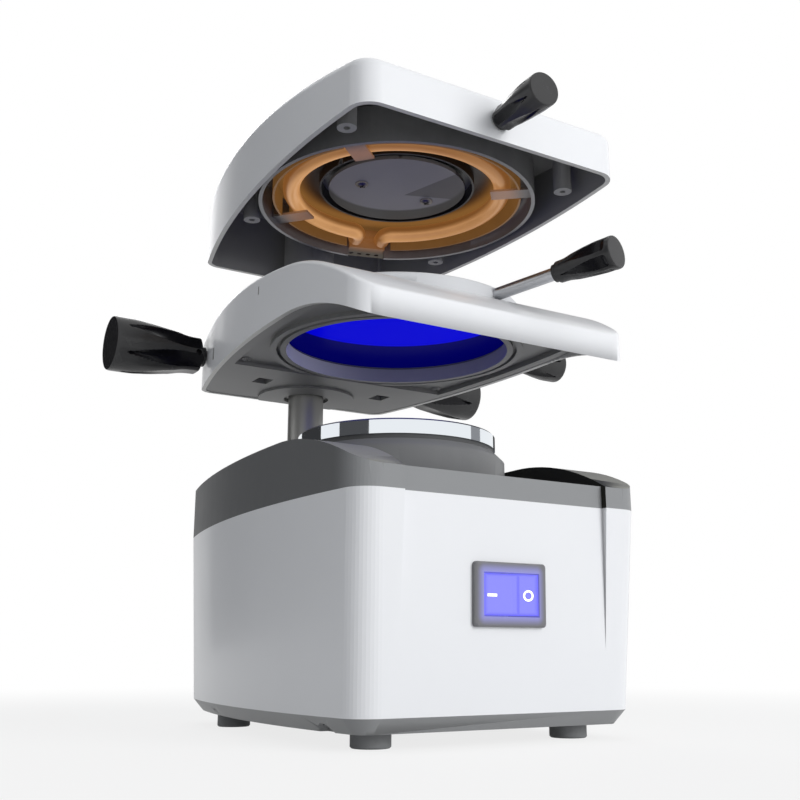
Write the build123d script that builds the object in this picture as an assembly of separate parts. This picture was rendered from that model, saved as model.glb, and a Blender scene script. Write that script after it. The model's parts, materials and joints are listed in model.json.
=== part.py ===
from build123d import *
import math
import os

# Dental vacuum former in millimetres, +Z up, front towards -Y.
# It is modelled about the axis of the forming platform and shifted at the end so
# that the origin is the middle of the footprint, on the surface under the feet.

# ---- Plan outline shared by the base, the sheet holder and the heater head ----
front_reach = 93.5      # platform axis to the front faces
back_margin = 18.8      # column axis to the back faces
side_clearance = 2.0    # widest casings' inner walls from the heater shroud
widest_y = -15.0        # where the bowed sides are widest
side_radius = 555.0     # bow of the sides, seen from above
front_corner = 12.0
back_corner = 9.0
wall = 2.5              # moulded wall of every casing

# ---- Clearances ----
fit_gap = 0.2           # between pieces of one body that drop into each other
face_gap = 0.3          # between faces of different bodies
running_gap = 0.05      # radial clearance of shafts and slides

# ---- Base casing ----
foot_radius = 8.35
foot_height = 6.3
foot_in = 27.8          # feet inside the widest place
foot_front_in = 28.5    # front feet behind the front faces
foot_back_in = 48.3     # back feet in front of the back faces
tray_height = 6.2       # height of the sloped skirt of the bottom tray
tray_inset = 5.5        # how far the skirt runs in
tray_floor = 2.5
tray_lip = 5.0          # lip that stands up inside the casing
draft = 3.8             # how far the casing tapers in towards the bottom
shell_height = 87.5
front_flare = 1.5       # how far the cheeks of the base stand past the plan outline
cheek_width = 25.8      # creases beside the front panel, inside the widest place
panel_recess = 3.0      # depth of the front panel below the cheeks at the top
panel_fade = 25.5       # height above the tray where the recess runs out
deck_rise = 10.0        # deck above the parting line
ear_rise = 17.0         # side ears above the deck
ear_round = 129.5       # radius of the ears' drop towards the front
ear_flat_y = -30.0      # the ears are level behind this
bridge_depth = 22.5     # the rear bridge joins the ears this far in front of the column
notch_radius = 6.0      # arched notches in the skirt of the tray
notch_rise = 3.6
notch_front_gap = 5.0   # notches from the feet, along Y
notch_back_gap = 11.0
post_radius = 4.5
post_in = 18.0          # posts inside the widest place
post_back_side_in = 29.8
post_front_in = 23.5
post_back_in = 18.3
case_screw_radius = 1.6
case_head_radius = 3.2
case_head_height = 2.0
case_screw_length = 20.0
case_screw_bore = 24.0
vent_slot = 3.0
vent_pitch = 7.0
vent_length = 34.0
vent_count = 7
vent_x = 40.0

# ---- Forming platform ----
turret_radius = 54.5
turret_rise = 23.0      # top of the turret above the deck
turret_bevel = 4.5
turret_bore = 46.2
platform_radius = 50.0
platform_height = 7.3   # height of the bright ring
ring_land = 3.5         # width of the ring's top
ring_ledge = 3.5        # ledge inside the ring that carries the plate
ring_edge = 0.8
plate_thickness = 2.2
plate_sink = 0.8        # plate below the top of the ring
plate_hole = 1.25       # radius of a suction hole
plate_hole_pitch = 8.5
plate_rows = 5
gasket_height = 2.3
gasket_inset = 1.0
cup_sheet = 1.2         # sheet thickness of the suction cup
cup_neck_radius = 17.0
cup_neck_length = 5.0

# ---- Suction motor ----
drum_radius = 50.0
drum_height = 33.0
drum_sheet = 1.5
drum_eye = 16.0
drum_window = 9.0
drum_windows = 8
seal_height = 4.0
impeller_radius = 44.0
impeller_height = 13.0
impeller_sheet = 1.5
impeller_blades = 9
impeller_lift = 7.0     # back plate above the floor of the drum
motor_radius = 34.0
motor_wall = 2.0
motor_height = 42.0
stator_bore = 19.3
stator_height = 19.0
armature_radius = 18.8
armature_slots = 12
commutator_radius = 9.0
commutator_height = 9.0
shaft_radius = 4.0
bearing_radius = 11.0
bearing_width = 7.0
brush_width = 6.0
cushion_bore = 20.0

# ---- Switch ----
switch_rise = 47.7      # its middle above the lower edge of the casing
bezel_width = 37.0
bezel_height = 26.4
bezel_rise = 2.6
bezel_rim = 4.2         # width of the frame round the rocker
switch_depth = 24.0
rocker_gap = 0.5
rocker_pivot = 3.0      # depth of the rocker's pin behind the panel
rocker_pin = 1.6
rocker_tilt = 6.0       # degrees to each side of level
rocker_rise = 1.2       # middle of the rocker above the panel
rocker_dip = 1.4        # hollow of the rocker's face

# ---- Power inlet, at the back ----
inlet_x = 29.0
inlet_rise = 32.5       # above the lower edge of the casing
inlet_width = 27.0
inlet_height = 19.5
inlet_depth = 20.0
inlet_flange_width = 48.0
inlet_flange_height = 24.0
inlet_flange = 1.8
inlet_socket_width = 23.0
inlet_socket_height = 15.0
inlet_socket_depth = 15.0
inlet_pin_width = 4.0
inlet_pin_thickness = 2.0
inlet_pin_length = 12.0
inlet_screw_head = 2.6
inlet_screw_length = 6.0

# ---- Column ----
column_gap = 33.2       # column axis behind the heater shroud
column_radius = 10.6
column_wall = 1.8
column_reach = 30.3     # top of the column above the head's rim
socket_radius = 16.0
socket_height = 16.0
collar_radius = 17.0
collar_height = 3.5
key_width = 3.4
key_groove = 1.2
groove_rise = 4.0       # groove starts above the base
groove_drop = 5.7       # and ends below the head
cable_radius = 3.0

# ---- Sheet holder ----
holder_lift = 60.5      # holder above its nest on the ears, as photographed
holder_crest = 31.2     # its crest above its lower edge
crest_back = 64.3       # crest in front of the back faces
crest_radius = 617.0    # gentle arc over the holder
brow_y = -32.0          # where the steeper arc to the front starts
front_lip_z = 13.0      # height of the holder's front face
holder_round = 2.5
hole_radius = 57.4      # opening that the sheet spans
throat_wall = 3.0
throat_drop = 0.7       # lower rim of the throat above the side walls' lower edge
plate_lift = 2.9        # recessed front of the plate above the side walls' lower edge
panel_lift = 0.3        # its rear part and its border above the same edge
panel_front = 60.0      # where the rear part starts
panel_rim = 5.5         # border's inner edge inside the outline
under_thickness = 2.5
seat_rise = 8.3         # sheet seat above the side walls' lower edge
seat_flange = 2.0
seat_radius = 64.6
lip_inner = 62.4
lip_outer = 65.4
lip_drop = 2.2
boss_radius = 29.0
boss_drop = 3.9
slot_x = 38.5
slot_ahead = 22.5       # slots in front of the column
slot_width = 9.0
slot_length = 11.0
slot_depth = 0.6        # above the recessed front
holder_droop = 40.0     # more than its front hangs below its lower edge
seal_thickness = 1.2
seal_width = 5.5
sheet_radius = 62.5     # a round sheet of 125 mm
sheet_thickness = 1.5
pocket_radius = 65.0
pocket_wall = 2.5
clamp_radius = 64.5
clamp_height = 10.4
clamp_edge = 1.2
lug_rise = 1.4          # bayonet lugs above the clamp ring's underside
lug_height = 2.6
lug_reach = 1.4
lug_angle = 12.0
lug_count = 3
hub_radius = 18.0
bush_radius = 13.5
under_screw_radius = 2.9
under_screw_height = 1.4
under_screw_slot = 0.7
under_screw_in = 22.0    # screws inside the widest place
under_screw_back_side_in = 18.0
under_screw_front_in = 41.5
under_screw_ahead = 52.0
# Small slots in the left wall: depth from the widest place, place along Y, rise, width, height
wall_slots = ((3.8, 0.0, 20.7, 1.2, 4.2), (13.3, 80.0, 10.3, 3.0, 7.0))

# ---- Clamp lever ----
lever_angle = 18.0      # degrees from the front towards +X, locked
lever_travel = 36.0     # degrees back to unlocked
lever_tilt = 4.0        # degrees that the lever rises outwards
lever_radius = 3.1
lever_rise = 6.9        # rod above the clamp ring's underside, at its wall
lever_relief = 0.4      # space between the lever and the holder's crown
lever_inner = 59.6
lever_neck = 98.0
lever_end = 130.2

# ---- Grips and knobs ----
grip_rise = 15.9        # above the holder's lower edge
grip_length = 54.4
grip_collar = 5.8
grip_neck = 10.8
grip_end = 15.4
stud_radius = 4.0
knob_bore = 16.0
lever_bore = 18.0
stud_short = 0.1        # head stud ends short of its bore
stud_grip = 28.0        # how far the studs reach into the grips
small_neck = 5.2        # lever handle
small_end = 7.8
knob_neck = 6.2         # knob on the head
knob_end = 8.0
lock_neck = 6.6         # knob of the clamp's lock
lock_end = 9.6
lock_y = 9.0
lock_rise = 13.1        # above the holder's lower edge
lock_length = 36.6
lock_pin = 2.5
lock_boss = 7.0
drag_rise = 13.5        # above the holder's lower edge
drag_screw = 3.0
drag_pad = 2.5

# ---- Heater head ----
head_clearance = 49.0   # open space between the holder's crest and the head's rim
head_crown = 40.8       # crown of the head above its rim
head_crown_back = 31.3  # crown in front of the back faces
head_crown_radius = 971.0
head_round = 5.0
hub_sleeve = 15.5
hub_drop = 4.7          # sleeve below the rim
thrust_washer = 2.0
head_post = 4.6
head_post_bore = 1.6
post_lift = 2.8
head_post_in = 14.8
head_post_front_in = 31.5
head_post_back_in = 17.8
head_post_ahead = 52.5  # back posts in front of the column
shroud_radius = 74.3
shroud_wall = 2.0
shroud_height = 19.0
shroud_top = 1.5
hanger_radius = 5.0
hanger_in = 22.3
terminal_angle = 16.0   # degrees from the back towards +X
terminal_width = 30.0
terminal_gap = 22.0     # cut-out in the shroud for the terminals
terminal_pan_gap = 2.0
terminal_reach = 8.7    # terminals past the shroud
terminal_height = 13.0
element_in = 10.0       # tube's ring inside the pan's edge
element_radius = 4.6
element_lift = 12.0     # tube's centre above the rim
element_offset = 8.0    # tube's end from the middle of the gap
element_bend = 6.0
pin_radius = 1.7
pan_gap = 5.3           # pan inside the shroud
pan_mouth = 4.0         # pan's opening round the disc
pan_sheet = 1.1
pan_wall = 14.5
pan_inner_wall = 7.0
bracket_angles = (-139.0, -40.0, 130.0)
bracket_width = 10.0
bracket_sheet = 1.2
bracket_length = 21.3
disc_radius = 37.0
disc_drop = 7.5
disc_thickness = 2.0
disc_screw_x = 20.5
disc_screw_y = 2.3
disc_screw_radius = 3.6
knob_gap = 0.9          # knob in front of the head
knob_length = 31.9
knob_rise = 9.9         # knob's axis above the head's rim

# ---- Places and levels that follow ----
half_width = shroud_radius + side_clearance + wall
foot_x = half_width - foot_in
cheek_x = half_width - cheek_width
post_x = half_width - post_in
post_back_x = half_width - post_back_side_in
head_post_x = half_width - head_post_in
head_post_back_x = half_width - head_post_back_in
under_screw_x = half_width - under_screw_in
under_screw_back_x = half_width - under_screw_back_side_in
pan_outer = shroud_radius - shroud_wall - pan_gap
pan_inner = disc_radius + pan_mouth
element_ring = pan_outer - element_in
terminal_inner = pan_outer + terminal_pan_gap
terminal_outer = shroud_radius + terminal_reach
hanger_ring = shroud_radius - hanger_in
bracket_reach = shroud_radius - shroud_wall - bracket_length
column_y = shroud_radius + column_gap
back_reach = column_y + back_margin
foot_front_y = foot_front_in - front_reach
foot_back_y = back_reach - foot_back_in
bridge_y = column_y - bridge_depth
notch_front_y = foot_front_y + notch_front_gap
notch_back_y = foot_back_y - notch_back_gap
post_front_y = post_front_in - front_reach
post_back_y = back_reach - post_back_in
crest_y = back_reach - crest_back
slot_y = column_y - slot_ahead
head_crown_y = back_reach - head_crown_back
head_post_front_y = head_post_front_in - front_reach
head_post_back_y = column_y - head_post_ahead
knob_neck_y = front_reach + knob_gap
shell_bottom = foot_height + tray_height
switch_z = shell_bottom + switch_rise
inlet_z = shell_bottom + inlet_rise
split_z = shell_bottom + shell_height
deck_z = split_z + deck_rise
ear_z = deck_z + ear_rise
turret_z = deck_z + turret_rise
ring_z = turret_z + gasket_height
platform_z = ring_z + platform_height
holder_z = ear_z + holder_lift
crest_z = holder_z + holder_crest
seat_z = holder_z + seat_rise
sheet_z = seat_z + seal_thickness
clamp_z = sheet_z + sheet_thickness + face_gap
clamp_top = clamp_z + clamp_height
lever_z = clamp_z + lever_rise
head_z = crest_z + head_clearance
crown_z = head_z + head_crown
column_top = head_z + column_reach
key_groove_low = ear_z + groove_rise
key_groove_high = head_z - groove_drop
grip_z = holder_z + grip_rise
lock_z = holder_z + lock_rise
drag_z = holder_z + drag_rise
column_bore = column_radius - column_wall
drum_top = split_z - seal_height
drum_z = drum_top - drum_height
motor_z = drum_z - motor_height
floor_z = foot_height + tray_floor
column_low = shell_bottom + tray_lip + fit_gap
shaft_top = drum_z + impeller_lift + impeller_height + 4.0

far = 400.0             # longer than any piece, for cutting tools


# ---- Helpers ----
def disc(radius, low, high, x=0.0, y=0.0):
    return Pos(x, y, (low + high) / 2) * Cylinder(radius, high - low)


def ring(outer, inner, low, high, x=0.0, y=0.0):
    return disc(outer, low, high, x, y) - disc(inner, low - 1, high + 1, x, y)


def block(x0, x1, y0, y1, z0, z1):
    middle = Pos((x0 + x1) / 2, (y0 + y1) / 2, (z0 + z1) / 2)
    return middle * Box(abs(x1 - x0), abs(y1 - y0), abs(z1 - z0))


def rod_x(radius, x0, x1, y, z):
    return Pos((x0 + x1) / 2, y, z) * Rot(0, 90, 0) * Cylinder(radius, abs(x1 - x0))


def rod_y(radius, y0, y1, x, z):
    return Pos(x, (y0 + y1) / 2, z) * Rot(90, 0, 0) * Cylinder(radius, abs(y1 - y0))


def both_sides(piece):
    return [piece, mirror(piece, about=Plane.YZ)]


def side_x(y, width):
    return width - side_radius + math.sqrt(side_radius**2 - (y - widest_y) ** 2)


def outline(front, back, width, corner_f, corner_b):
    """Plan outline with bowed sides and rounded corners."""
    middle = (back - front) / 2
    front_x = side_x(-front, width)
    back_x = side_x(back, width)
    middle_x = side_x(middle, width)
    front_left = (-front_x, -front)
    front_right = (front_x, -front)
    back_right = (back_x, back)
    back_left = (-back_x, back)
    edges = [
        Line(front_left, front_right),
        ThreePointArc(front_right, (middle_x, middle), back_right),
        Line(back_right, back_left),
        ThreePointArc(back_left, (-middle_x, middle), front_left),
    ]
    face = make_face(edges)
    corners = face.vertices().sort_by(Axis.Y)
    face = fillet(corners[:2], corner_f)
    corners = face.vertices().sort_by(Axis.Y)
    return fillet(corners[-2:], corner_b)


def plan(inset=0.0, flare=0.0):
    """The common outline, moved inwards, with an optional flare at the front."""
    return outline(
        front_reach + flare - inset,
        back_reach - inset,
        half_width + flare / 3 - inset,
        max(front_corner - inset, 1.0),
        max(back_corner - inset, 1.0),
    )


def tray_plan(inset=0.0):
    """The outline of the casing's lower edge, moved inwards."""
    return outline(
        front_reach + front_flare - draft * 1.8 - inset,
        back_reach - draft - inset,
        half_width - draft - inset,
        max(front_corner - inset, 1.0),
        max(back_corner - inset, 1.0),
    )


def prism(face, low, high):
    return extrude(Pos(0, 0, low) * face, amount=high - low)


def across(edges):
    """A side profile, drawn in Y and Z, as a slab across the whole width."""
    return extrude(Plane.YZ * make_face(edges), amount=far, both=True)


def tapered_handle(length, collar, neck, end, bore, bore_depth, flutes=6):
    """A fluted, tapered handle along +Z, from its collar at 0 to its end."""
    shoulder = length * 0.10
    swell = length * 0.80
    side = Polyline((0, 0), (collar, 0), (collar, shoulder * 0.5), (neck, shoulder), (end, swell))
    top = ThreePointArc((end, swell), (end * 0.93, length * 0.94), (end * 0.70, length))
    close = Polyline((end * 0.70, length), (0, length), (0, 0))
    body = revolve(Plane.XZ * make_face([side, top, close]), Axis.Z)
    flute = end * 0.50
    low = Vector(neck + flute * 0.86, 0, length * 0.24)
    high = Vector(end + flute * 0.72, 0, length * 0.80)
    span = high - low
    middle = Plane(origin=(low + high) / 2, z_dir=span)
    cutter = middle.location * Cylinder(flute, span.length)
    cutter += Pos(*low) * Sphere(flute)
    cutter += Pos(*high) * Sphere(flute)
    for index in range(flutes):
        body -= Rot(0, 0, (index + 0.5) * 360 / flutes) * cutter
    return body - disc(bore, -1, bore_depth)


def screw_head(radius, low, high, x, y, slot=0.5):
    """A round head with a slot in its lower face."""
    head = disc(radius, low, high, x, y)
    half = slot * 0.5
    return head - block(x - radius * 0.7, x + radius * 0.7, y - half, y + half, low - 1, low + slot)


pieces = {}


def keep(name, solid):
    """Keeps a piece as one solid, or as a compound of separate solids."""
    solids = []
    for item in solid if isinstance(solid, (list, tuple)) else [solid]:
        solids += item.solids()
    pieces[name] = solids[0] if len(solids) == 1 else Compound(solids)


# ---- Base casing ----
def corner_spots(x_front, x_back, y_front, y_back):
    return [(-x_front, y_front), (x_front, y_front), (-x_back, y_back), (x_back, y_back)]


foot_spots = corner_spots(foot_x, foot_x, foot_front_y, foot_back_y)
inlet_screw_reach = inlet_flange_width / 2 - 4.5
inlet_screw_spots = (inlet_x - inlet_screw_reach, inlet_x + inlet_screw_reach)
post_spots = corner_spots(post_x, post_back_x, post_front_y, post_back_y)


def panel_y(z):
    """Front panel of the casing at height z."""
    share = (z - shell_bottom) / shell_height
    cheek = front_reach + front_flare - draft * 1.8 * (1 - share)
    fade = max(z - shell_bottom - panel_fade, 0) / (shell_height - panel_fade)
    return -(cheek - panel_recess * fade)


def rubber_feet():
    feet = []
    for x, y in foot_spots:
        foot = disc(foot_radius, 0, foot_height, x, y)
        foot = chamfer(foot.edges().sort_by(Axis.Z)[:1], 0.6)
        foot -= disc(case_head_radius, -1, 2.5, x, y)
        foot -= disc(case_screw_radius, -1, foot_height + 1, x, y)
        feet.append(foot)
    return feet


def foot_screws():
    screws = []
    for x, y in foot_spots:
        head = disc(case_head_radius - fit_gap, 0.8, 2.5, x, y)
        screws.append(head + disc(case_screw_radius - fit_gap, 2.4, floor_z + 3, x, y))
    return screws


def bottom_tray():
    lower = Pos(0, 0, foot_height) * tray_plan(tray_inset)
    upper = Pos(0, 0, shell_bottom) * tray_plan()
    tray = loft([lower, upper], ruled=True)
    lip = wall + fit_gap
    tray += prism(tray_plan(lip), shell_bottom - 0.5, shell_bottom + tray_lip)
    tray -= prism(tray_plan(lip + wall), floor_z, shell_bottom + tray_lip + 1)
    for x, y in post_spots + foot_spots:
        tray += disc(post_radius, floor_z - 0.5, floor_z + 4, x, y)
    for x, y in foot_spots:
        tray -= disc(case_screw_radius, 0, floor_z + 5, x, y)
    for x, y in post_spots:
        tray -= disc(case_screw_radius + fit_gap, 0, floor_z + 5, x, y)
        tray -= disc(case_head_radius + fit_gap, 0, foot_height + case_head_height, x, y)
    tray += disc(cushion_bore - fit_gap, floor_z - 0.5, floor_z + 3)
    for side in (-1, 1):
        for index in range(vent_count):
            y = (index - (vent_count - 1) / 2) * vent_pitch
            x0 = side * vent_x - vent_length / 2 + abs(y) * 0.2
            x1 = side * vent_x + vent_length / 2 - abs(y) * 0.2
            tray -= block(x0, x1, y - vent_slot / 2, y + vent_slot / 2, 0, floor_z + 1)
        for y in (notch_front_y, notch_back_y):
            drop = foot_height + notch_rise - notch_radius
            notch = rod_x(notch_radius, side * (half_width - 14), side * far, y, drop)
            tray -= notch
    return tray


def base_shell():
    def body(inset):
        lower = Pos(0, 0, shell_bottom) * tray_plan(inset)
        upper = Pos(0, 0, split_z) * plan(inset, front_flare)
        solid = loft([lower, upper], ruled=True)
        fade_z = shell_bottom + panel_fade
        wedge = Polyline(
            (panel_y(fade_z) + inset, fade_z),
            (panel_y(split_z) + inset, split_z),
            (panel_y(split_z) + inset, split_z + 5),
            (-far, split_z + 5),
            (-far, fade_z),
            (panel_y(fade_z) + inset, fade_z),
        )
        cut = extrude(Plane.YZ * make_face(wedge), amount=cheek_x + inset, both=True)
        return solid - cut

    shell = body(0) - body(wall)
    opening_x = bezel_width / 2 - bezel_rim
    opening_z = bezel_height / 2 - bezel_rim
    shell -= block(
        -opening_x - 1.5, opening_x + 1.5, -far, -front_reach + 20,
        switch_z - opening_z - 1.5, switch_z + opening_z + 1.5,
    )
    half = inlet_width / 2 + fit_gap
    rise = inlet_height / 2 + fit_gap
    shell -= block(
        inlet_x - half, inlet_x + half, back_reach - 20, far, inlet_z - rise, inlet_z + rise,
    )
    for x in inlet_screw_spots:
        shell -= rod_y(case_screw_radius, back_reach - 20, far, x, inlet_z)
    return shell


def ear_profile(drop, front):
    """Side profile of the ears, lowered by drop, from split_z down to nothing."""
    top = ear_z - drop
    tangent_y = ear_flat_y
    fall = ear_round - math.sqrt(ear_round**2 - (front + tangent_y) ** 2)
    mid_y = (tangent_y - front) / 2
    mid_fall = ear_round - math.sqrt(ear_round**2 - (tangent_y - mid_y) ** 2)
    return [
        ThreePointArc((-front, top - fall), (mid_y, top - mid_fall), (tangent_y, top)),
        Line((tangent_y, top), (far, top)),
        Polyline((far, top), (far, 0), (-front, 0), (-front, top - fall)),
    ]


def base_cap():
    def body(inset, bottom):
        solid = prism(plan(inset, front_flare), bottom, ear_z + 5)
        solid &= across(ear_profile(inset, front_reach + front_flare + 1))
        side = cheek_x + inset
        solid -= block(-side, side, -far, bridge_y - inset, deck_z - inset, far)
        front = panel_y(split_z) + inset
        return solid - block(-side, side, -far, front, bottom - 1, far)

    cap = body(0, split_z)
    bevel = turret_z - turret_bevel
    turret = Polyline(
        (0, split_z), (turret_radius, split_z), (turret_radius, bevel),
        (platform_radius, turret_z), (0, turret_z), (0, split_z),
    )
    cap += revolve(Plane.XZ * make_face(turret), Axis.Z)
    cap -= body(wall, split_z - 1) - disc(turret_bore + wall, split_z - 2, ear_z)
    cap -= disc(turret_bore, split_z - 1, turret_z + 1)
    inside = body(wall / 2, floor_z)
    for x, y in post_spots:
        cap += disc(post_radius, floor_z + 4 + fit_gap, ear_z, x, y) & inside
    for x, y in post_spots:
        cap -= disc(case_screw_radius, 0, floor_z + case_screw_bore, x, y)
    cap -= disc(column_radius + fit_gap, split_z - 1, ear_z + 1, 0, column_y)
    return cap


def case_screws():
    screws = []
    for x, y in post_spots:
        low = foot_height + 0.4
        top = foot_height + case_head_height
        head = screw_head(case_head_radius, low, top, x, y)
        stem = disc(case_screw_radius - running_gap, top - 0.1, floor_z + case_screw_length, x, y)
        screws.append(head + stem)
    return screws


keep("rubber_feet", rubber_feet())
keep("foot_screws", foot_screws())
keep("bottom_tray", bottom_tray())
keep("base_shell", base_shell())
keep("base_cap", base_cap())
keep("case_screws", case_screws())


# ---- Forming platform ----
def platform_ring():
    inner = platform_radius - ring_land
    body = ring(platform_radius, inner, ring_z, platform_z)
    top = body.edges().group_by(Axis.Z)[-1]
    body = chamfer(top, ring_edge)
    ledge_top = platform_z - plate_sink - plate_thickness
    return body + ring(inner + 0.5, inner - ring_ledge, ring_z, ledge_top)


def forming_plate():
    top = platform_z - plate_sink
    radius = platform_radius - ring_land - fit_gap
    plate = disc(radius, top - plate_thickness, top)
    holes = []
    for row in range(1, plate_rows + 1):
        for index in range(6 * row):
            turn = math.radians(index * 60 / row)
            reach = row * plate_hole_pitch
            spot = Pos(reach * math.cos(turn), reach * math.sin(turn), top)
            holes.append(spot * Cylinder(plate_hole, plate_thickness * 4))
    return plate - holes


def suction_cup():
    """Funnel under the plate that leads the air to the motor."""
    flange_r = platform_radius - ring_land - fit_gap
    mouth_r = flange_r - cup_sheet * 2
    neck_low = split_z
    neck_high = neck_low + cup_neck_length
    low = ring_z - cup_sheet
    outer = Polyline(
        (cup_neck_radius, neck_low), (cup_neck_radius + cup_sheet, neck_low),
        (cup_neck_radius + cup_sheet, neck_high), (mouth_r + cup_sheet, low - 4),
        (mouth_r + cup_sheet, low), (flange_r - 0.3, low), (flange_r - 0.3, ring_z),
        (mouth_r, ring_z), (mouth_r, low - 4 + cup_sheet * 0.5),
        (cup_neck_radius, neck_high + cup_sheet * 0.5), (cup_neck_radius, neck_low),
    )
    return revolve(Plane.XZ * make_face(outer), Axis.Z)


gasket_inner = platform_radius - ring_land
keep("platform_gasket", ring(platform_radius - gasket_inset, gasket_inner, turret_z, ring_z))
keep("platform_ring", platform_ring())
keep("forming_plate", forming_plate())
keep("suction_cup", suction_cup())


# ---- Suction motor ----
def fan_drum():
    drum = ring(drum_radius, drum_radius - drum_sheet, drum_z, drum_top)
    drum += ring(drum_radius - 0.5, drum_eye, drum_top - drum_sheet, drum_top)
    drum += ring(drum_radius - 0.5, bearing_radius, drum_z, drum_z + drum_sheet)
    middle = drum_z + drum_window
    for index in range(drum_windows):
        window = Pos(drum_radius, 0, middle) * Box(10, drum_window * 2, drum_window)
        drum -= Rot(0, 0, index * 360 / drum_windows) * window
    return drum


def impeller():
    low = drum_z + impeller_lift
    high = low + impeller_height
    wheel = disc(impeller_radius, low, low + impeller_sheet)
    cover = ring(impeller_radius, drum_eye, high - impeller_sheet, high)
    wheel += cover
    for index in range(impeller_blades):
        middle = (impeller_radius + drum_eye) / 2
        length = impeller_radius - drum_eye - 1
        blade = Pos(middle, 0, (low + high) / 2) * Rot(0, 0, 18)
        blade = blade * Box(length, impeller_sheet, impeller_height - 0.2)
        wheel += Rot(0, 0, index * 360 / impeller_blades) * blade
    wheel += disc(shaft_radius * 2, low, high)
    return wheel - disc(shaft_radius, low - 1, high + 1)


def motor_housing():
    can = ring(motor_radius, motor_radius - motor_wall, motor_z, drum_z)
    can += ring(motor_radius - 0.5, bearing_radius, motor_z, motor_z + bearing_width)
    for side in (0, 90, 180, 270):
        window = Pos(motor_radius, 0, motor_z + motor_height * 0.62) * Box(8, 12, 16)
        can -= Rot(0, 0, side + 45) * window
    return can


def motor_stator():
    low = motor_z + bearing_width + commutator_height
    high = low + stator_height
    body = ring(motor_radius - motor_wall, stator_bore, low, high)
    for side in (-1, 1):
        coil = block(side * 21, side * 29, -14, 14, high - 1, high + 5)
        body += fillet(coil.edges().filter_by(Axis.Z), 3)
    return body


def armature():
    low = motor_z + bearing_width + commutator_height
    body = disc(armature_radius, low, low + stator_height)
    for index in range(armature_slots):
        slot = Pos(armature_radius, 0, low + stator_height / 2) * Box(7, 1.6, stator_height + 2)
        body -= Rot(0, 0, index * 360 / armature_slots) * slot
    start = motor_z + bearing_width + 1.0
    return body + disc(commutator_radius, start, low + 0.5) - disc(shaft_radius, 0, far)


def carbon_brushes():
    middle = motor_z + bearing_width + commutator_height / 2 + 0.5
    reach = motor_radius - motor_wall - fit_gap
    brushes = []
    for side in (-1, 1):
        near = side * (commutator_radius + running_gap)
        end = side * reach
        x0 = min(near, end)
        x1 = max(near, end)
        half = brush_width / 2
        brushes.append(block(x0, x1, -half, half, middle - half, middle + half))
    return brushes


def bearings():
    low = ring(bearing_radius, shaft_radius + running_gap, motor_z, motor_z + bearing_width)
    high = ring(
        bearing_radius, shaft_radius + running_gap, drum_z + drum_sheet - bearing_width,
        drum_z + drum_sheet,
    )
    return [low, high]


keep("fan_drum", fan_drum())
keep("impeller", impeller())
keep("motor_housing", motor_housing())
keep("motor_stator", motor_stator())
keep("armature", armature())
keep("motor_shaft", disc(shaft_radius, motor_z + 1, shaft_top))
keep("carbon_brushes", carbon_brushes())
keep("shaft_bearings", bearings())
keep("motor_cushion", ring(motor_radius, cushion_bore, floor_z, motor_z))
keep("inlet_seal", ring(cup_neck_radius + 8, drum_eye, drum_top, split_z))


# ---- Switch, square to the sloping front panel ----
panel_slope = math.degrees(math.atan2(
    panel_y(switch_z - 20) - panel_y(switch_z + 20), 40,
))
switch_place = Pos(0, panel_y(switch_z), switch_z) * Rot(90 + panel_slope, 0, 0)


def switch_bezel():
    outer_x = bezel_width / 2
    outer_y = bezel_height / 2
    inner_x = outer_x - bezel_rim
    inner_y = outer_y - bezel_rim
    frame = extrude(RectangleRounded(bezel_width, bezel_height, 1.6), amount=bezel_rise)
    frame = chamfer(frame.edges().group_by(Axis.Z)[-1], 1.0)
    frame += block(-inner_x - 1.2, inner_x + 1.2, -inner_y - 1.2, inner_y + 1.2, -switch_depth, 0.1)
    hollow = block(-inner_x, inner_x, -inner_y, inner_y, 2 - switch_depth, bezel_rise + 1)
    frame -= hollow
    pin = Pos(0, 0, -rocker_pivot) * Rot(90, 0, 0) * Cylinder(rocker_pin, inner_y * 2 + 1)
    return frame + pin


def switch_rocker():
    depth = rocker_pivot + rocker_pin + 2.0
    edge = rocker_rise + rocker_dip
    tilt = math.radians(rocker_tilt)
    swing = (rocker_pivot + edge) * math.sin(tilt)
    half_x = (bezel_width / 2 - bezel_rim - rocker_gap - swing) / math.cos(tilt)
    half_y = bezel_height / 2 - bezel_rim - rocker_gap
    taper = half_x - 3.2
    face = Polyline(
        (-taper, -depth), (taper, -depth), (half_x, 0), (half_x, edge),
        (half_x * 0.12, rocker_rise), (-half_x, edge), (-half_x, 0), (-taper, -depth),
    )
    body = extrude(Plane.XZ * make_face(face), amount=half_y, both=True)
    body -= Pos(0, 0, -rocker_pivot) * Rot(90, 0, 0) * Cylinder(rocker_pin + running_gap, far)
    turn = Pos(0, 0, -rocker_pivot) * Rot(0, -rocker_tilt, 0) * Pos(0, 0, rocker_pivot)
    return turn * body


def switch_tabs():
    tabs = []
    for x in (-8.0, 0.0, 8.0):
        tabs.append(block(x - 0.4, x + 0.4, -2.4, 2.4, -switch_depth - 8, -switch_depth))
    return tabs


keep("switch_bezel", switch_place * switch_bezel())
keep("switch_rocker", switch_place * switch_rocker())
keep("switch_tabs", [switch_place * tab for tab in switch_tabs()])


# ---- Power inlet ----
def inlet_face_y():
    share = (inlet_z + inlet_flange_height / 2 - shell_bottom) / shell_height
    return back_reach - draft * (1 - share)


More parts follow.
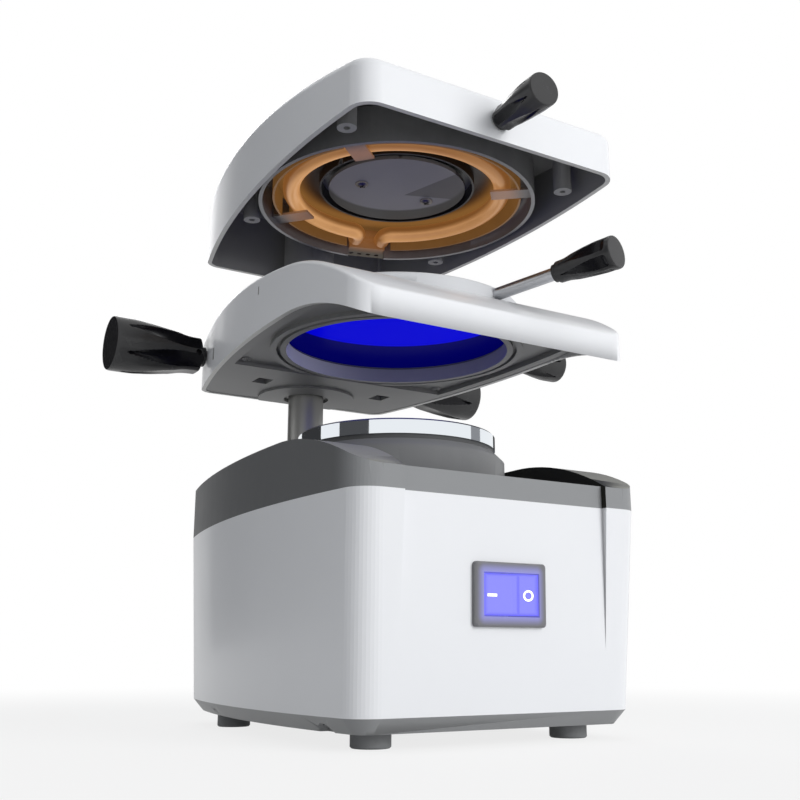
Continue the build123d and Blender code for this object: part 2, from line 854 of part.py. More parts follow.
def power_inlet():
    face = inlet_face_y()
    half = inlet_flange_width / 2
    rise = inlet_flange_height / 2
    body = block(inlet_x - half, inlet_x + half, face, face + inlet_flange, inlet_z - rise, inlet_z + rise)
    body = fillet(body.edges().filter_by(Axis.Y), 4)
    half = inlet_width / 2
    rise = inlet_height / 2
    body += block(
        inlet_x - half, inlet_x + half, face - inlet_depth, face + 0.5,
        inlet_z - rise, inlet_z + rise,
    )
    half = inlet_socket_width / 2
    rise = inlet_socket_height / 2
    mouth = face + inlet_flange - inlet_socket_depth
    body -= block(inlet_x - half, inlet_x + half, mouth, far, inlet_z - rise, inlet_z + rise)
    for x in inlet_screw_spots:
        body -= rod_y(case_screw_radius, face - 1, far, x, inlet_z)
        body -= rod_y(inlet_screw_head, face + inlet_flange / 2, far, x, inlet_z)
    return body


def inlet_pins():
    mouth = inlet_face_y() + inlet_flange - inlet_socket_depth
    pins = []
    for x, z in ((-7.0, -2.0), (0.0, 2.0), (7.0, -2.0)):
        middle_x = inlet_x + x
        middle_z = inlet_z + z
        pins.append(block(
            middle_x - inlet_pin_thickness / 2, middle_x + inlet_pin_thickness / 2,
            mouth, mouth + inlet_pin_length,
            middle_z - inlet_pin_width / 2, middle_z + inlet_pin_width / 2,
        ))
    return pins


def inlet_screws():
    face = inlet_face_y()
    screws = []
    for x in inlet_screw_spots:
        stem = rod_y(
            case_screw_radius - running_gap, face - inlet_screw_length, face + inlet_flange, x, inlet_z,
        )
        head_y = face + inlet_flange / 2
        head = rod_y(inlet_screw_head - 0.05, head_y, face + inlet_flange, x, inlet_z)
        screws.append(stem + head)
    return screws


keep("power_inlet", power_inlet())
keep("inlet_pins", inlet_pins())
keep("inlet_screws", inlet_screws())


# ---- Column ----
def column_tube():
    tube = ring(column_radius, column_bore, column_low, column_top, 0, column_y)
    half = key_width / 2 + running_gap * 2
    deep = column_y + column_radius - key_groove
    return tube - block(-half, half, deep, far, key_groove_low, key_groove_high)


def column_socket():
    """A foot on the tray with a cup that holds the column."""
    top = column_low + socket_height
    foot = disc(socket_radius, floor_z, column_low, 0, column_y)
    foot &= prism(tray_plan(wall * 2 + fit_gap * 2), 0, far)
    cup = disc(socket_radius, column_low - 0.01, top, 0, column_y)
    cup &= prism(tray_plan(wall + fit_gap), 0, far)
    cup -= disc(column_radius + running_gap, column_low, far, 0, column_y)
    return foot + cup - disc(cable_radius + fit_gap, 0, far, 0, column_y)


keep("column_tube", column_tube())
keep("column_socket", column_socket())
keep("column_collar", ring(
    collar_radius, column_radius + running_gap, ear_z, ear_z + collar_height, 0, column_y,
))
keep("thrust_washer", ring(
    column_radius, cable_radius + fit_gap, column_top, column_top + thrust_washer, 0, column_y,
))
keep("heater_cable", disc(cable_radius, floor_z, column_top + thrust_washer, 0, column_y))


# ---- Sheet holder ----
def holder_profile(inset, open_below=False):
    """Side profile of the holder; with an inset it is the hollow inside."""
    front = front_reach + 1
    fall = ear_round - math.sqrt(ear_round**2 - (front_reach + ear_flat_y) ** 2)
    mid_y = (ear_flat_y - front_reach) / 2
    mid_fall = ear_round - math.sqrt(ear_round**2 - (ear_flat_y - mid_y) ** 2)
    low = holder_z
    front_low = low - fall
    radius = crest_radius - inset
    centre_z = crest_z - crest_radius
    back_z = centre_z + math.sqrt(radius**2 - (far - crest_y) ** 2)
    brow_turn = math.asin((brow_y - crest_y) / crest_radius)
    brow = (crest_y + radius * math.sin(brow_turn), centre_z + radius * math.cos(brow_turn))
    over = ThreePointArc((far, back_z), (crest_y, crest_z - inset), brow)
    lip = (-front_reach + inset * 0.4, front_low + front_lip_z - inset)
    down = TangentArc(brow, lip, tangent=over % 1)
    ahead = (-front, lip[1] - 1.0)
    if open_below:
        return [over, down, Polyline(lip, ahead, (-front, 0), (far, 0), (far, back_z))]
    return [
        over, down, Polyline(lip, ahead, (-front, front_low), (-front_reach, front_low)),
        ThreePointArc((-front_reach, front_low), (mid_y, low - mid_fall), (ear_flat_y, low)),
        Polyline((ear_flat_y, low), (far, low), (far, back_z)),
    ]


holder_low = holder_z - holder_droop
holder_outer = prism(plan(), holder_low, crest_z + 10) & across(holder_profile(0))
holder_hollow = prism(plan(wall), holder_low - 1, crest_z + 9) & across(holder_profile(wall, True))
under_low = holder_z + plate_lift
under_high = under_low + under_thickness


def holder_shell():
    outer = fillet(holder_outer.faces().sort_by(Axis.Z)[-1].edges(), holder_round)
    shell = outer - holder_hollow
    tube = ring(pocket_radius + pocket_wall, pocket_radius, under_high, crest_z + 5)
    hub = ring(hub_radius, bush_radius, under_high, crest_z + 5, 0, column_y)
    boss_x = math.sqrt(pocket_radius**2 - lock_y**2)
    boss = rod_x(lock_boss, boss_x + 1, side_x(lock_y, half_width) - 1, lock_y, lock_z)
    shell += (tube + hub + boss) & outer
    shell -= disc(pocket_radius, holder_low, crest_z + 20)
    shell -= disc(bush_radius, holder_low, crest_z + 20, 0, column_y)
    low = clamp_z + lug_rise - face_gap
    high = low + lug_height + face_gap * 2
    track = ring(clamp_radius + lug_reach + face_gap, pocket_radius - 1, low, high)
    span = lug_angle + lever_travel + 8
    for index in range(lug_count):
        start = -lever_travel - lug_angle / 2 - 4 + index * 360 / lug_count
        shell -= track & sector(start, start + span)
    sweep = math.degrees(math.asin(lever_radius / clamp_radius)) + 0.5
    relief = disc(pocket_radius + 6, lever_z - lever_radius - lever_relief, crest_z + 5)
    shell -= relief & sector(lever_angle - 90 - lever_travel - sweep, lever_angle - 90 + sweep)
    shell -= rod_x(lock_pin + running_gap, pocket_radius - 3, far, lock_y, lock_z)
    for side in (-1, 1):
        shell -= rod_x(stud_radius + fit_gap, side * (bush_radius + 2), side * far, column_y, grip_z)
    shell -= rod_y(drag_screw, column_y + column_radius, far, 0, drag_z)
    for depth, y, rise, width, height in wall_slots:
        z = holder_z + rise
        shell -= block(
            -far, depth - half_width, y - width / 2, y + width / 2, z - height / 2, z + height / 2,
        )
    return shell


def sector(start, end):
    """A wedge about the platform axis, from one angle to another, in degrees."""
    steps = max(int((end - start) / 40) + 1, 2)
    reach = far
    points = [(0, 0)]
    for index in range(steps + 1):
        turn = math.radians(start + (end - start) * index / steps)
        points.append((reach * math.cos(turn), reach * math.sin(turn)))
    points.append((0, 0))
    return extrude(make_face(Polyline(*points)), amount=crown_z)


def holder_plate():
    inside = plan(wall + fit_gap)
    hollow = across(holder_profile(wall + fit_gap, True))
    plate = prism(inside, under_low, under_high) & hollow
    plate += prism(inside, holder_z - 1, under_low + 0.5) & disc(
        boss_radius, under_low - boss_drop, under_low + 0.5, 0, column_y,
    )
    plate += disc(seat_radius, seat_z - seat_flange, seat_z)
    plate += disc(hole_radius + throat_wall, holder_z + throat_drop, seat_z)
    plate += ring(lip_outer, lip_inner, under_low - lip_drop, under_low + 0.5)
    recess = prism(plan(wall + panel_rim), holder_low, under_low)
    recess &= block(-far, far, -far, panel_front, 0, far)
    plate += (prism(inside, holder_z + panel_lift, under_low + 0.5) & hollow) - recess
    plate -= disc(hole_radius, holder_low, seat_z + 1)
    plate -= disc(bush_radius, holder_low, seat_z + 1, 0, column_y)
    for side in (-1, 1):
        x = side * slot_x
        plate -= block(
            x - slot_width / 2, x + slot_width / 2, slot_y - slot_length / 2,
            slot_y + slot_length / 2, holder_low, under_low + slot_depth,
        )
    return plate


def plate_screws():
    front_y = under_screw_front_in - front_reach
    back_y = column_y - under_screw_ahead
    low = under_low - under_screw_height
    spots = corner_spots(under_screw_x, under_screw_back_x, front_y, back_y)
    return [screw_head(under_screw_radius, low, under_low, x, y, under_screw_slot) for x, y in spots]


def column_bush():
    low = under_low - boss_drop
    bush = ring(bush_radius - 0.02, column_radius + running_gap, low + 1.5, crest_z - 8, 0, column_y)
    key_low = column_y + column_radius - key_groove + fit_gap
    half = key_width / 2
    key_high = column_y + column_radius + 1
    bush += block(-half, half, key_low, key_high, low + 1.5, crest_z - 8)
    return bush - rod_y(drag_pad + 0.05, column_y + column_radius - 2, far, 0, drag_z)


def clamp_ring():
    body = ring(clamp_radius, hole_radius, clamp_z, clamp_top)
    body = fillet(body.edges().group_by(Axis.Z)[-1], clamp_edge)
    low = clamp_z + lug_rise
    lugs = ring(clamp_radius + lug_reach, clamp_radius - 1, low, low + lug_height)
    for index in range(lug_count):
        start = -lug_angle / 2 + index * 360 / lug_count
        body += lugs & sector(start, start + lug_angle)
    return body - lever_rod(lever_radius + 0.02, far)


def lever_frame(radius):
    """Place on the lever's axis at a radius from the platform axis, with +X outwards along it."""
    wall = Pos(clamp_radius, 0, lever_z) * Rot(0, -lever_tilt, 0)
    return Rot(0, 0, lever_angle - 90) * wall * Pos(radius - clamp_radius, 0, 0)


def lever_rod(radius, end):
    return lever_frame(lever_inner) * rod_x(radius, 0, end - lever_inner, 0, 0)


keep("holder_shell", holder_shell())
keep("holder_plate", holder_plate())
keep("plate_screws", plate_screws())
keep("column_bush", column_bush())
keep("sheet_seal", ring(seat_radius - 1, seat_radius - 1 - seal_width, seat_z, sheet_z))
keep("forming_sheet", disc(sheet_radius, sheet_z, sheet_z + sheet_thickness))
keep("drag_pad", rod_y(
    drag_pad, column_y + column_radius + running_gap, column_y + bush_radius, 0, drag_z,
) - block(-half_width, half_width, 0, column_y + column_radius - 1, 0, 1))
keep("drag_screw", rod_y(
    drag_screw - 0.05, column_y + bush_radius, back_reach - 1, 0, drag_z,
))

# Clamp ring with its lever, which turns about the platform axis
keep("clamp_ring", clamp_ring())
keep("lever_rod", lever_rod(lever_radius, lever_neck + lever_bore))
lever_handle = tapered_handle(
    lever_end - lever_neck, small_neck * 0.82, small_neck, small_end, lever_radius + 0.02, lever_bore,
)
keep("lever_handle", lever_frame(lever_neck) * Rot(0, 90, 0) * lever_handle)


# ---- Grips ----
grip_neck_x = side_x(column_y - grip_collar, half_width) + running_gap


def side_grip():
    grip = tapered_handle(grip_length, grip_collar, grip_neck, grip_end, stud_radius + 0.02, stud_grip)
    return Pos(grip_neck_x, column_y, grip_z) * Rot(0, 90, 0) * grip


grips = both_sides(side_grip())
keep("grip_right", grips[0])
keep("grip_left", grips[1])
keep("grip_studs", both_sides(
    rod_x(stud_radius, bush_radius + 2.0, grip_neck_x + stud_grip, column_y, grip_z),
))

# Lock screw of the clamp ring, in the right-hand wall
lock_wall = side_x(lock_y, half_width)
lock_tip = math.sqrt(clamp_radius**2 - (lock_y - lock_pin) ** 2) + lug_reach + face_gap
lock_knob = tapered_handle(lock_length, lock_neck * 0.7, lock_neck, lock_end, lock_pin + 0.02, knob_bore)
keep("lock_screw", rod_x(lock_pin, lock_tip, lock_wall + face_gap + knob_bore, lock_y, lock_z))
keep("lock_knob", Pos(lock_wall + face_gap, lock_y, lock_z) * Rot(0, 90, 0) * lock_knob)


# ---- Heater head ----
def head_profile(inset):
    front = front_reach + 1
    radius = head_crown_radius - inset
    centre_z = crown_z - head_crown_radius
    front_z = centre_z + math.sqrt(radius**2 - (front + head_crown_y) ** 2)
    back_z = centre_z + math.sqrt(radius**2 - (far - head_crown_y) ** 2)
    low = head_z - (1 if inset else 0)
    over = ThreePointArc((-front, front_z), (head_crown_y, crown_z - inset), (far, back_z))
    return [over, Polyline((far, back_z), (far, low), (-front, low), (-front, front_z))]


head_outer = prism(plan(), head_z, crown_z + 10) & across(head_profile(0))
head_hollow = prism(plan(wall), head_z - 1, crown_z + 9) & across(head_profile(wall))
head_posts = corner_spots(head_post_x, head_post_back_x, head_post_front_y, head_post_back_y)
post_z = head_z + post_lift
heater_top = post_z + shroud_height
element_z = head_z + element_lift
terminal_place = Rot(0, 0, 90 - terminal_angle)


def head_shell():
    shell = fillet(head_outer.faces().sort_by(Axis.Z)[-1].edges(), head_round) - head_hollow
    for x, y in head_posts:
        post = disc(head_post, post_z, crown_z + 5, x, y) & head_outer
        shell += post - disc(head_post_bore, 0, post_z + 12, x, y)
    shell -= rod_y(stud_radius * 0.75 + fit_gap, -far, -front_reach + 10, 0, head_z + knob_rise)
    return shell


def head_hub():
    low = head_z - hub_drop
    hub = disc(hub_sleeve, low, crown_z + 5, 0, column_y) & (
        head_hollow + disc(hub_sleeve, low, head_z + 5, 0, column_y)
    )
    hub -= disc(column_radius + running_gap, low - 1, column_top + thrust_washer + 0.01, 0, column_y)
    window = block(-4, 4, 0, column_y, column_top - 12, column_top - 4)
    return hub - window


def heater_shroud():
    body = ring(shroud_radius, shroud_radius - shroud_wall, post_z, heater_top)
    body += ring(shroud_radius - 0.5, 6, heater_top - shroud_top, heater_top)
    half = terminal_gap / 2
    cut = block(shroud_radius - 10, shroud_radius + 10, -half, half, 0, heater_top - shroud_top)
    body -= terminal_place * cut
    for turn in (45, 135, 225, 315):
        angle = math.radians(turn)
        spot = (hanger_ring * math.cos(angle), hanger_ring * math.sin(angle))
        body += disc(hanger_radius, heater_top - 0.5, crown_z + 5, *spot) & head_hollow
    return body


def reflector_pan():
    top = heater_top - shroud_top
    pan = ring(pan_outer, pan_inner, top - pan_sheet, top)
    pan += ring(pan_outer, pan_outer - pan_sheet, top - pan_wall, top - 0.5)
    pan += ring(pan_inner + pan_sheet, pan_inner, top - pan_inner_wall, top - 0.5)
    low = top - pan_wall - 1
    high = top - pan_sheet - 1
    half = bracket_width / 2 + 0.6
    for angle in bracket_angles:
        pan -= Rot(0, 0, angle) * block(pan_outer - 4, pan_outer + 2, -half, half, low, high)
    half = element_offset + element_radius + 1.0
    return pan - terminal_place * block(pan_outer - 6, pan_outer + 2, -half, half, low, high)


def element_path():
    """Half turns of the tube: a ring whose two ends turn outwards side by side."""
    centre_x = element_offset + element_bend
    reach = element_ring + element_bend
    centre_y = math.sqrt(reach**2 - centre_x**2)
    meet_x = centre_x * element_ring / reach
    meet_y = centre_y * element_ring / reach
    bend_turn = (math.radians(180) + math.atan2(centre_y, centre_x) + math.radians(180)) / 2
    bend_mid = (
        centre_x + element_bend * math.cos(bend_turn),
        centre_y + element_bend * math.sin(bend_turn),
    )
    tip_y = terminal_inner - 2.5
    right = [(element_offset, tip_y), (element_offset, centre_y), bend_mid, (meet_x, meet_y)]
    left = [(-x, y) for x, y in right]
    return Wire([
        Line(right[0], right[1]),
        ThreePointArc(right[1], right[2], right[3]),
        ThreePointArc(right[3], (element_ring, 0), (0, -element_ring)),
        ThreePointArc((0, -element_ring), (-element_ring, 0), left[3]),
        ThreePointArc(left[3], left[2], left[1]),
        Line(left[1], left[0]),
    ])


element_place = Pos(0, 0, element_z) * Rot(0, 0, -terminal_angle)


def heating_element():
    path = element_path()
    start = Plane(origin=path @ 0, z_dir=path % 0)
    return element_place * sweep(start * Circle(element_radius), path=path)


def element_pins():
    pins = []
    for side in (-1, 1):
        x = side * element_offset
        pins.append(element_place * rod_y(pin_radius, terminal_inner - 2.5, terminal_inner + 6, x, 0))
    return pins


def terminal_block():
    half = terminal_width / 2
    top = heater_top - shroud_top
    body = block(terminal_inner, terminal_outer, -half, half, top - terminal_height, top)
    body = fillet(body.edges().filter_by(Axis.Z), 2)
    inner_half = terminal_gap / 2 - fit_gap
    body -= block(0, shroud_radius + fit_gap, inner_half, far, 0, far)
    body -= block(0, shroud_radius + fit_gap, -far, -inner_half, 0, far)
    body -= block(0, pan_outer + fit_gap, -far, far, 0, far)
    low = top - terminal_height
    for side in (-1, 1):
        y = side * element_offset
        hole_z = element_z
        body -= rod_x(pin_radius + 0.02, 0, terminal_inner + 6, y, hole_z)
        body -= disc(1.4, low - 1, low + 5, terminal_outer - 4, y)
        body -= disc(1.4, low - 1, low + 5, terminal_outer - 4, y * 0.35)
    return terminal_place * body


def element_brackets():
    brackets = []
    top = element_z - element_radius
    outer = shroud_radius - shroud_wall
    half = bracket_width / 2
    for angle in bracket_angles:
        strap = block(bracket_reach, outer - 0.05, -half, half, top - bracket_sheet, top)
        leg = block(outer - 3, outer - 0.05, -half, half, top - bracket_sheet, heater_top - shroud_top)
        leg &= ring(outer - 0.05, outer - 0.05 - bracket_sheet, 0, crown_z)
        strap &= disc(outer - 0.05, 0, crown_z)
        brackets.append(Rot(0, 0, angle) * (strap + leg))
    return brackets


def centre_disc():
    top = heater_top - shroud_top
    low = top - disc_drop
    body = disc(disc_radius, low, low + disc_thickness)
    for side in (-1, 1):
        x = side * disc_screw_x
        body += disc(disc_screw_radius + 1, low, top, x, disc_screw_y)
        body -= disc(disc_screw_radius * 0.5, low - 1, top + 1, x, disc_screw_y)
    return body


def disc_screws():
    low = heater_top - shroud_top - disc_drop
    screws = []
    for side in (-1, 1):
        x = side * disc_screw_x
        stem = disc(disc_screw_radius * 0.5 - 0.05, low - 0.1, heater_top - shroud_top, x, disc_screw_y)
        screws.append(screw_head(disc_screw_radius, low - 1.6, low, x, disc_screw_y, 0.9) + stem)
    return screws


def head_knob():
    knob = tapered_handle(knob_length, knob_neck * 0.82, knob_neck, knob_end, stud_radius * 0.75, knob_bore)
    return Pos(0, -knob_neck_y, head_z + knob_rise) * Rot(90, 0, 0) * knob


keep("head_shell", head_shell())
keep("head_hub", head_hub())
keep("heater_shroud", heater_shroud())
keep("reflector_pan", reflector_pan())
keep("heating_element", heating_element())
keep("element_pins", element_pins())
keep("terminal_block", terminal_block())
keep("element_brackets", element_brackets())
keep("centre_disc", centre_disc())
keep("disc_screws", disc_screws())
keep("head_knob", head_knob())
keep("head_stud", rod_y(
    stud_radius * 0.75, stud_short - knob_neck_y - knob_bore, -front_reach + wall + 4, 0, head_z + knob_rise,
))

# ---- Move the origin to the middle of the footprint and write the pieces ----
boxes = [solid.bounding_box() for solid in pieces.values()]
low_y = min(box.min.Y for box in boxes)
high_y = max(box.max.Y for box in boxes)
shift_y = -(low_y + high_y) / 2
os.makedirs("parts", exist_ok=True)
for name, solid in pieces.items():
    export_step(Pos(0, shift_y, 0) * solid, f"parts/{name}.step")

print("front and back", round(low_y, 3), round(high_y, 3), "shift", round(shift_y, 3))
print("top", round(max(box.max.Z for box in boxes), 3), "pieces", len(pieces))
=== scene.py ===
"""Looks of a dental vacuum former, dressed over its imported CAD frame."""

import json
import math

import bmesh
import bpy
import numpy as np
from bpy.props import FloatProperty, FloatVectorProperty, IntProperty, PointerProperty
from mathutils import Matrix, Vector
from mathutils.bvhtree import BVHTree

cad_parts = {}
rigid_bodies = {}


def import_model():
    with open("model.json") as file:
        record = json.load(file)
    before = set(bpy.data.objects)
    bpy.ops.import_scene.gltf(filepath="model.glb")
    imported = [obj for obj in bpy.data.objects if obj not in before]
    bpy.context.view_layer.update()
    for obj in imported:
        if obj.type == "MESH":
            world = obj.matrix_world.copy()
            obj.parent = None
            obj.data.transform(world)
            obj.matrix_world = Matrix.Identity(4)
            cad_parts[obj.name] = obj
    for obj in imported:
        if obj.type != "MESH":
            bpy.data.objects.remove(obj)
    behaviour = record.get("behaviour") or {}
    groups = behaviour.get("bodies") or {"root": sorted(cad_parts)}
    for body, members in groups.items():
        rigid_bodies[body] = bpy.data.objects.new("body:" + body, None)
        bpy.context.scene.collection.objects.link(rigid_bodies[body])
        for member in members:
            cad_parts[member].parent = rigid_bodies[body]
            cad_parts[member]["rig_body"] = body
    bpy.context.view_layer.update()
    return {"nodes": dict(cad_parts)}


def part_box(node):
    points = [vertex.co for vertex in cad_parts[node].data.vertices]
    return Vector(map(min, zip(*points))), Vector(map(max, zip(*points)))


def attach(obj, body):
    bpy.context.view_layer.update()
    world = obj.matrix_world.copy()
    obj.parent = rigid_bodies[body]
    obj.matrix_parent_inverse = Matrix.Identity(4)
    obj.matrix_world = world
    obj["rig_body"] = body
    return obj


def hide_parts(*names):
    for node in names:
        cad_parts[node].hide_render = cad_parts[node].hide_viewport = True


bl_info = {
    "name": "Dental vacuum former",
    "version": (1, 0, 0),
    "blender": (4, 5, 0),
    "location": "3D View > Sidebar > Vacuum former",
    "description": "Dresses the packed frame of a dental vacuum former",
    "category": "Object",
}

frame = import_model()
MM = 0.001
WELD = 0.004 * MM  # points of a CAD mesh nearer than this are one
BLACK = (0.0, 0.0, 0.0)


def middle(node):
    """Middle of a CAD node's box, in metres."""
    low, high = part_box(node)
    return (low + high) / 2


def half(node):
    """Half the size of a CAD node's box, in metres."""
    low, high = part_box(node)
    return (high - low) / 2


def shade(color, share):
    """A colour with every channel times one share."""
    return tuple(channel * share for channel in color)


# ---- Nodes ----
def operator(operation, swapped=False):
    """A method that joins two numbers, either of them a socket, by a maths node."""

    def method(self, other):
        return self.work.maths(operation, *((other, self) if swapped else (self, other)))

    return method


class Value:
    """A number socket of a node tree, for use in Python expressions."""

    def __init__(self, work, socket):
        self.work = work
        self.socket = socket

    __add__ = operator("ADD")
    __radd__ = operator("ADD", True)
    __sub__ = operator("SUBTRACT")
    __rsub__ = operator("SUBTRACT", True)
    __mul__ = operator("MULTIPLY")
    __rmul__ = operator("MULTIPLY", True)
    __truediv__ = operator("DIVIDE")
    __pow__ = operator("POWER")

    def __abs__(self):
        return self.work.maths("ABSOLUTE", self)


class Nodes:
    """A node tree, and the one way in which its nodes are made."""

    def __init__(self, tree):
        self.tree = tree

    def node(self, kind, values=None, settings=None, out=0):
        """Makes a node, sets its inputs and properties, and returns one of its outputs."""
        made = self.tree.nodes.new(kind)
        for name, value in (settings or {}).items():
            if name == "points":
                self.set_points(made.mapping, value)
            else:
                setattr(made, name, value)
        for key, value in (values or {}).items():
            if isinstance(value, Value):
                self.tree.links.new(value.socket, made.inputs[key])
            else:
                made.inputs[key].default_value = value
        return Value(self, made.outputs[out]) if made.outputs else None

    def split(self, vector, names="xyz"):
        """The named parts of a vector."""
        parts = self.node("ShaderNodeSeparateXYZ", {0: vector}).socket.node.outputs
        return [Value(self, parts["xyz".index(name)]) for name in names]

    @staticmethod
    def set_points(mapping, points):
        curve = mapping.curves[0]
        while len(curve.points) < len(points):
            curve.points.new(0.5, 0.5)
        for point, (x, y) in zip(curve.points, points):
            point.location = (x, y)
            point.handle_type = "AUTO_CLAMPED"
        mapping.update()

    def vector(self, x=0.0, y=0.0, z=0.0):
        return self.node("ShaderNodeCombineXYZ", {"X": x, "Y": y, "Z": z})

    def maths(self, operation, *numbers):
        return self.node("ShaderNodeMath", dict(enumerate(numbers)), {"operation": operation})

    def largest(self, a, b):
        return self.maths("MAXIMUM", a, b)

    def ease(self, value, low, high):
        """0 below low, 1 above high and smooth between."""
        values = {"Value": value, "From Min": low, "From Max": high}
        return self.node("ShaderNodeMapRange", values, {"interpolation_type": "SMOOTHSTEP"})

    def length(self, x, y):
        return (x * x + y * y) ** 0.5


class Finish(Nodes):
    """A material: constants on the shader, and patterns that feed it."""

    def __init__(self, name, **constants):
        self.material = bpy.data.materials.new(name)
        self.material.use_nodes = True
        super().__init__(self.material.node_tree)
        self.shader = self.tree.nodes["Principled BSDF"]
        for key, value in constants.items():
            socket = self.shader.inputs[key.replace("_", " ")]
            color = socket.type == "RGBA" and len(value) == 3
            socket.default_value = (*value, 1.0) if color else value
        self.place = self.node("ShaderNodeTexCoord", out=3)

    def axes(self, names="xyz"):
        """The named object coordinates."""
        return self.split(self.place, names)

    def noise(self, scale, detail=3.0, rough=0.5, place=None):
        values = {"Vector": place or self.place, "Scale": scale, "Detail": detail, "Roughness": rough}
        return self.node("ShaderNodeTexNoise", values)

    def stretched(self, scale):
        """Object coordinates scaled by different amounts along each axis."""
        return self.node("ShaderNodeMapping", {"Vector": self.place, "Scale": scale})

    def blend(self, factor, low, high):
        """Mixes two colours; low and high are colours or links."""
        settings = {"data_type": "RGBA", "clamp_factor": True}
        pick = [value if isinstance(value, Value) else (*value, 1.0) for value in (low, high)]
        return self.node("ShaderNodeMix", {0: factor, 6: pick[0], 7: pick[1]}, settings, 2)

    def feed(self, **sockets):
        """Links values to sockets of the shader."""
        for key, value in sockets.items():
            self.tree.links.new(value.socket, self.shader.inputs[key.replace("_", " ")])
        return self

    def bump(self, height, strength, distance):
        values = {"Height": height, "Strength": strength, "Distance": distance}
        return self.feed(Normal=self.node("ShaderNodeBump", values))


# ---- Finishes ----
def moulded(name, color, rough, grain, depth, variation=0.04, specular=0.5, **more):
    """A moulded plastic with fine grain, faint mottling and rubbed roughness."""
    made = Finish(name, Base_Color=color, Roughness=rough, Specular_IOR_Level=specular, **more)
    cloud = made.noise(18.0, 4.0)
    fine = made.noise(grain, 2.0)
    made.feed(
        Base_Color=made.blend(cloud, shade(color, 1 - variation), color),
        Roughness=rough * 0.82 + cloud * (rough * 0.36),
    )
    return made.bump(fine, 0.25, depth)


def metal(name, color, rough, along, streak=0.12):
    """A brushed metal whose scratches run along one axis."""
    made = Finish(name, Base_Color=color, Roughness=rough, Metallic=1.0)
    scale = [1800.0, 1800.0, 1800.0]
    scale["xyz".index(along)] = 60.0
    lines = made.noise(1.0, 3.0, place=made.stretched(scale))
    cloud = made.noise(35.0, 3.0)
    made.feed(
        Base_Color=made.blend(cloud, shade(color, 0.82), color),
        Roughness=rough - streak / 2 + lines * streak,
    )
    return made.bump(lines, 0.10, 0.00002)


# Material, colour, roughness, scale and depth of the grain, mottling and specular level
PLASTICS = {
    "clamp": ("clamp_white", (0.62, 0.63, 0.65), 0.35, 900.0, 0.000012, 0.015, 0.3),
    # painted shade: darker greys for the downward faces and the inner walls of the white casings
    "rim": ("casing_rim", (0.46, 0.46, 0.45), 0.35, 1200.0, 0.00002),
    "inside": ("casing_inside", (0.24, 0.24, 0.24), 0.55, 1200.0, 0.00004, 0.05, 0.3),
    "cap_top": ("grey_turret", (0.205, 0.208, 0.212), 0.42, 1500.0, 0.00003, 0.05, 0.15),
    # painted highlight on the ears' front slopes, with a warm tint that offsets the sheet's blue light
    "ear_slope_highlight": ("grey_ear", (0.26, 0.26, 0.24), 0.5, 1500.0, 0.00003, 0.05, 0.1),
    # painted shade: a near-black for the inner wall of the right ear
    "cap_painted_shade": ("grey_shade", (0.022, 0.022, 0.018), 0.5, 1500.0, 0.00003, 0.05, 0.1),
    "tray": ("tray_grey", (0.30, 0.305, 0.31), 0.42, 1500.0, 0.00003, 0.05, 0.2),
    "plate": ("plate_grey", (0.215, 0.215, 0.215), 0.45, 1200.0, 0.00003, 0.05, 0.2),
    "rubber": ("rubber_grey", (0.24, 0.245, 0.25), 0.62, 1800.0, 0.00006, 0.08, 0.2),
    "black_rubber": ("rubber_black", (0.012, 0.012, 0.012), 0.6, 1800.0, 0.00006),
    "gasket": ("gasket_grey", (0.075, 0.077, 0.08), 0.5, 1800.0, 0.00004),
    "carbon": ("brush_carbon", (0.02, 0.02, 0.02), 0.6, 2500.0, 0.00008),
    "socket": ("socket_black", (0.018, 0.018, 0.018), 0.4, 1500.0, 0.00004),
    "nylon": ("nylon_white", (0.60, 0.60, 0.56), 0.4, 900.0, 0.00003),
    "sleeve": ("cable_sleeve", (0.10, 0.09, 0.08), 0.7, 2500.0, 0.0001),
    "silicone": ("seal_silicone", (0.13, 0.13, 0.15), 0.45, 900.0, 0.00003),
}
# Material, colour, roughness, axis of the scratches and how much they change the roughness
METALS = {
    "lip": ("ring_lip", (0.30, 0.30, 0.31), 0.5, "x"),
    "column": ("column_chrome", (0.40, 0.40, 0.39), 0.46, "z", 0.10),
    "dull": ("heated_screw", (0.20, 0.19, 0.18), 0.45, "x", 0.1),
    "steel": ("zinc_steel", (0.62, 0.63, 0.65), 0.30, "x"),
    "perforated": ("perforated_steel", (0.60, 0.61, 0.62), 0.32, "x"),
    "aluminium": ("spun_aluminium", (0.72, 0.73, 0.74), 0.34, "z"),
    "shaft": ("shaft_steel", (0.58, 0.59, 0.60), 0.22, "z"),
    "iron": ("motor_iron", (0.20, 0.20, 0.21), 0.50, "z", 0.2),
    "brass": ("contact_brass", (0.72, 0.53, 0.22), 0.28, "y"),
}
# Material, colour, roughness, reach of the painted glow in mm and its strength
PAINTED_GLOW_STEELS = {
    "shroud": ("heater_steel", (0.27, 0.27, 0.27), 0.34, 10.0, 0.08),
    "strap": ("strap_steel", (0.26, 0.24, 0.22), 0.42, 14.0, 0.28),
    "ceramic": ("terminal_ceramic", (0.17, 0.14, 0.095), 0.6, 22.0, 0.55),
}


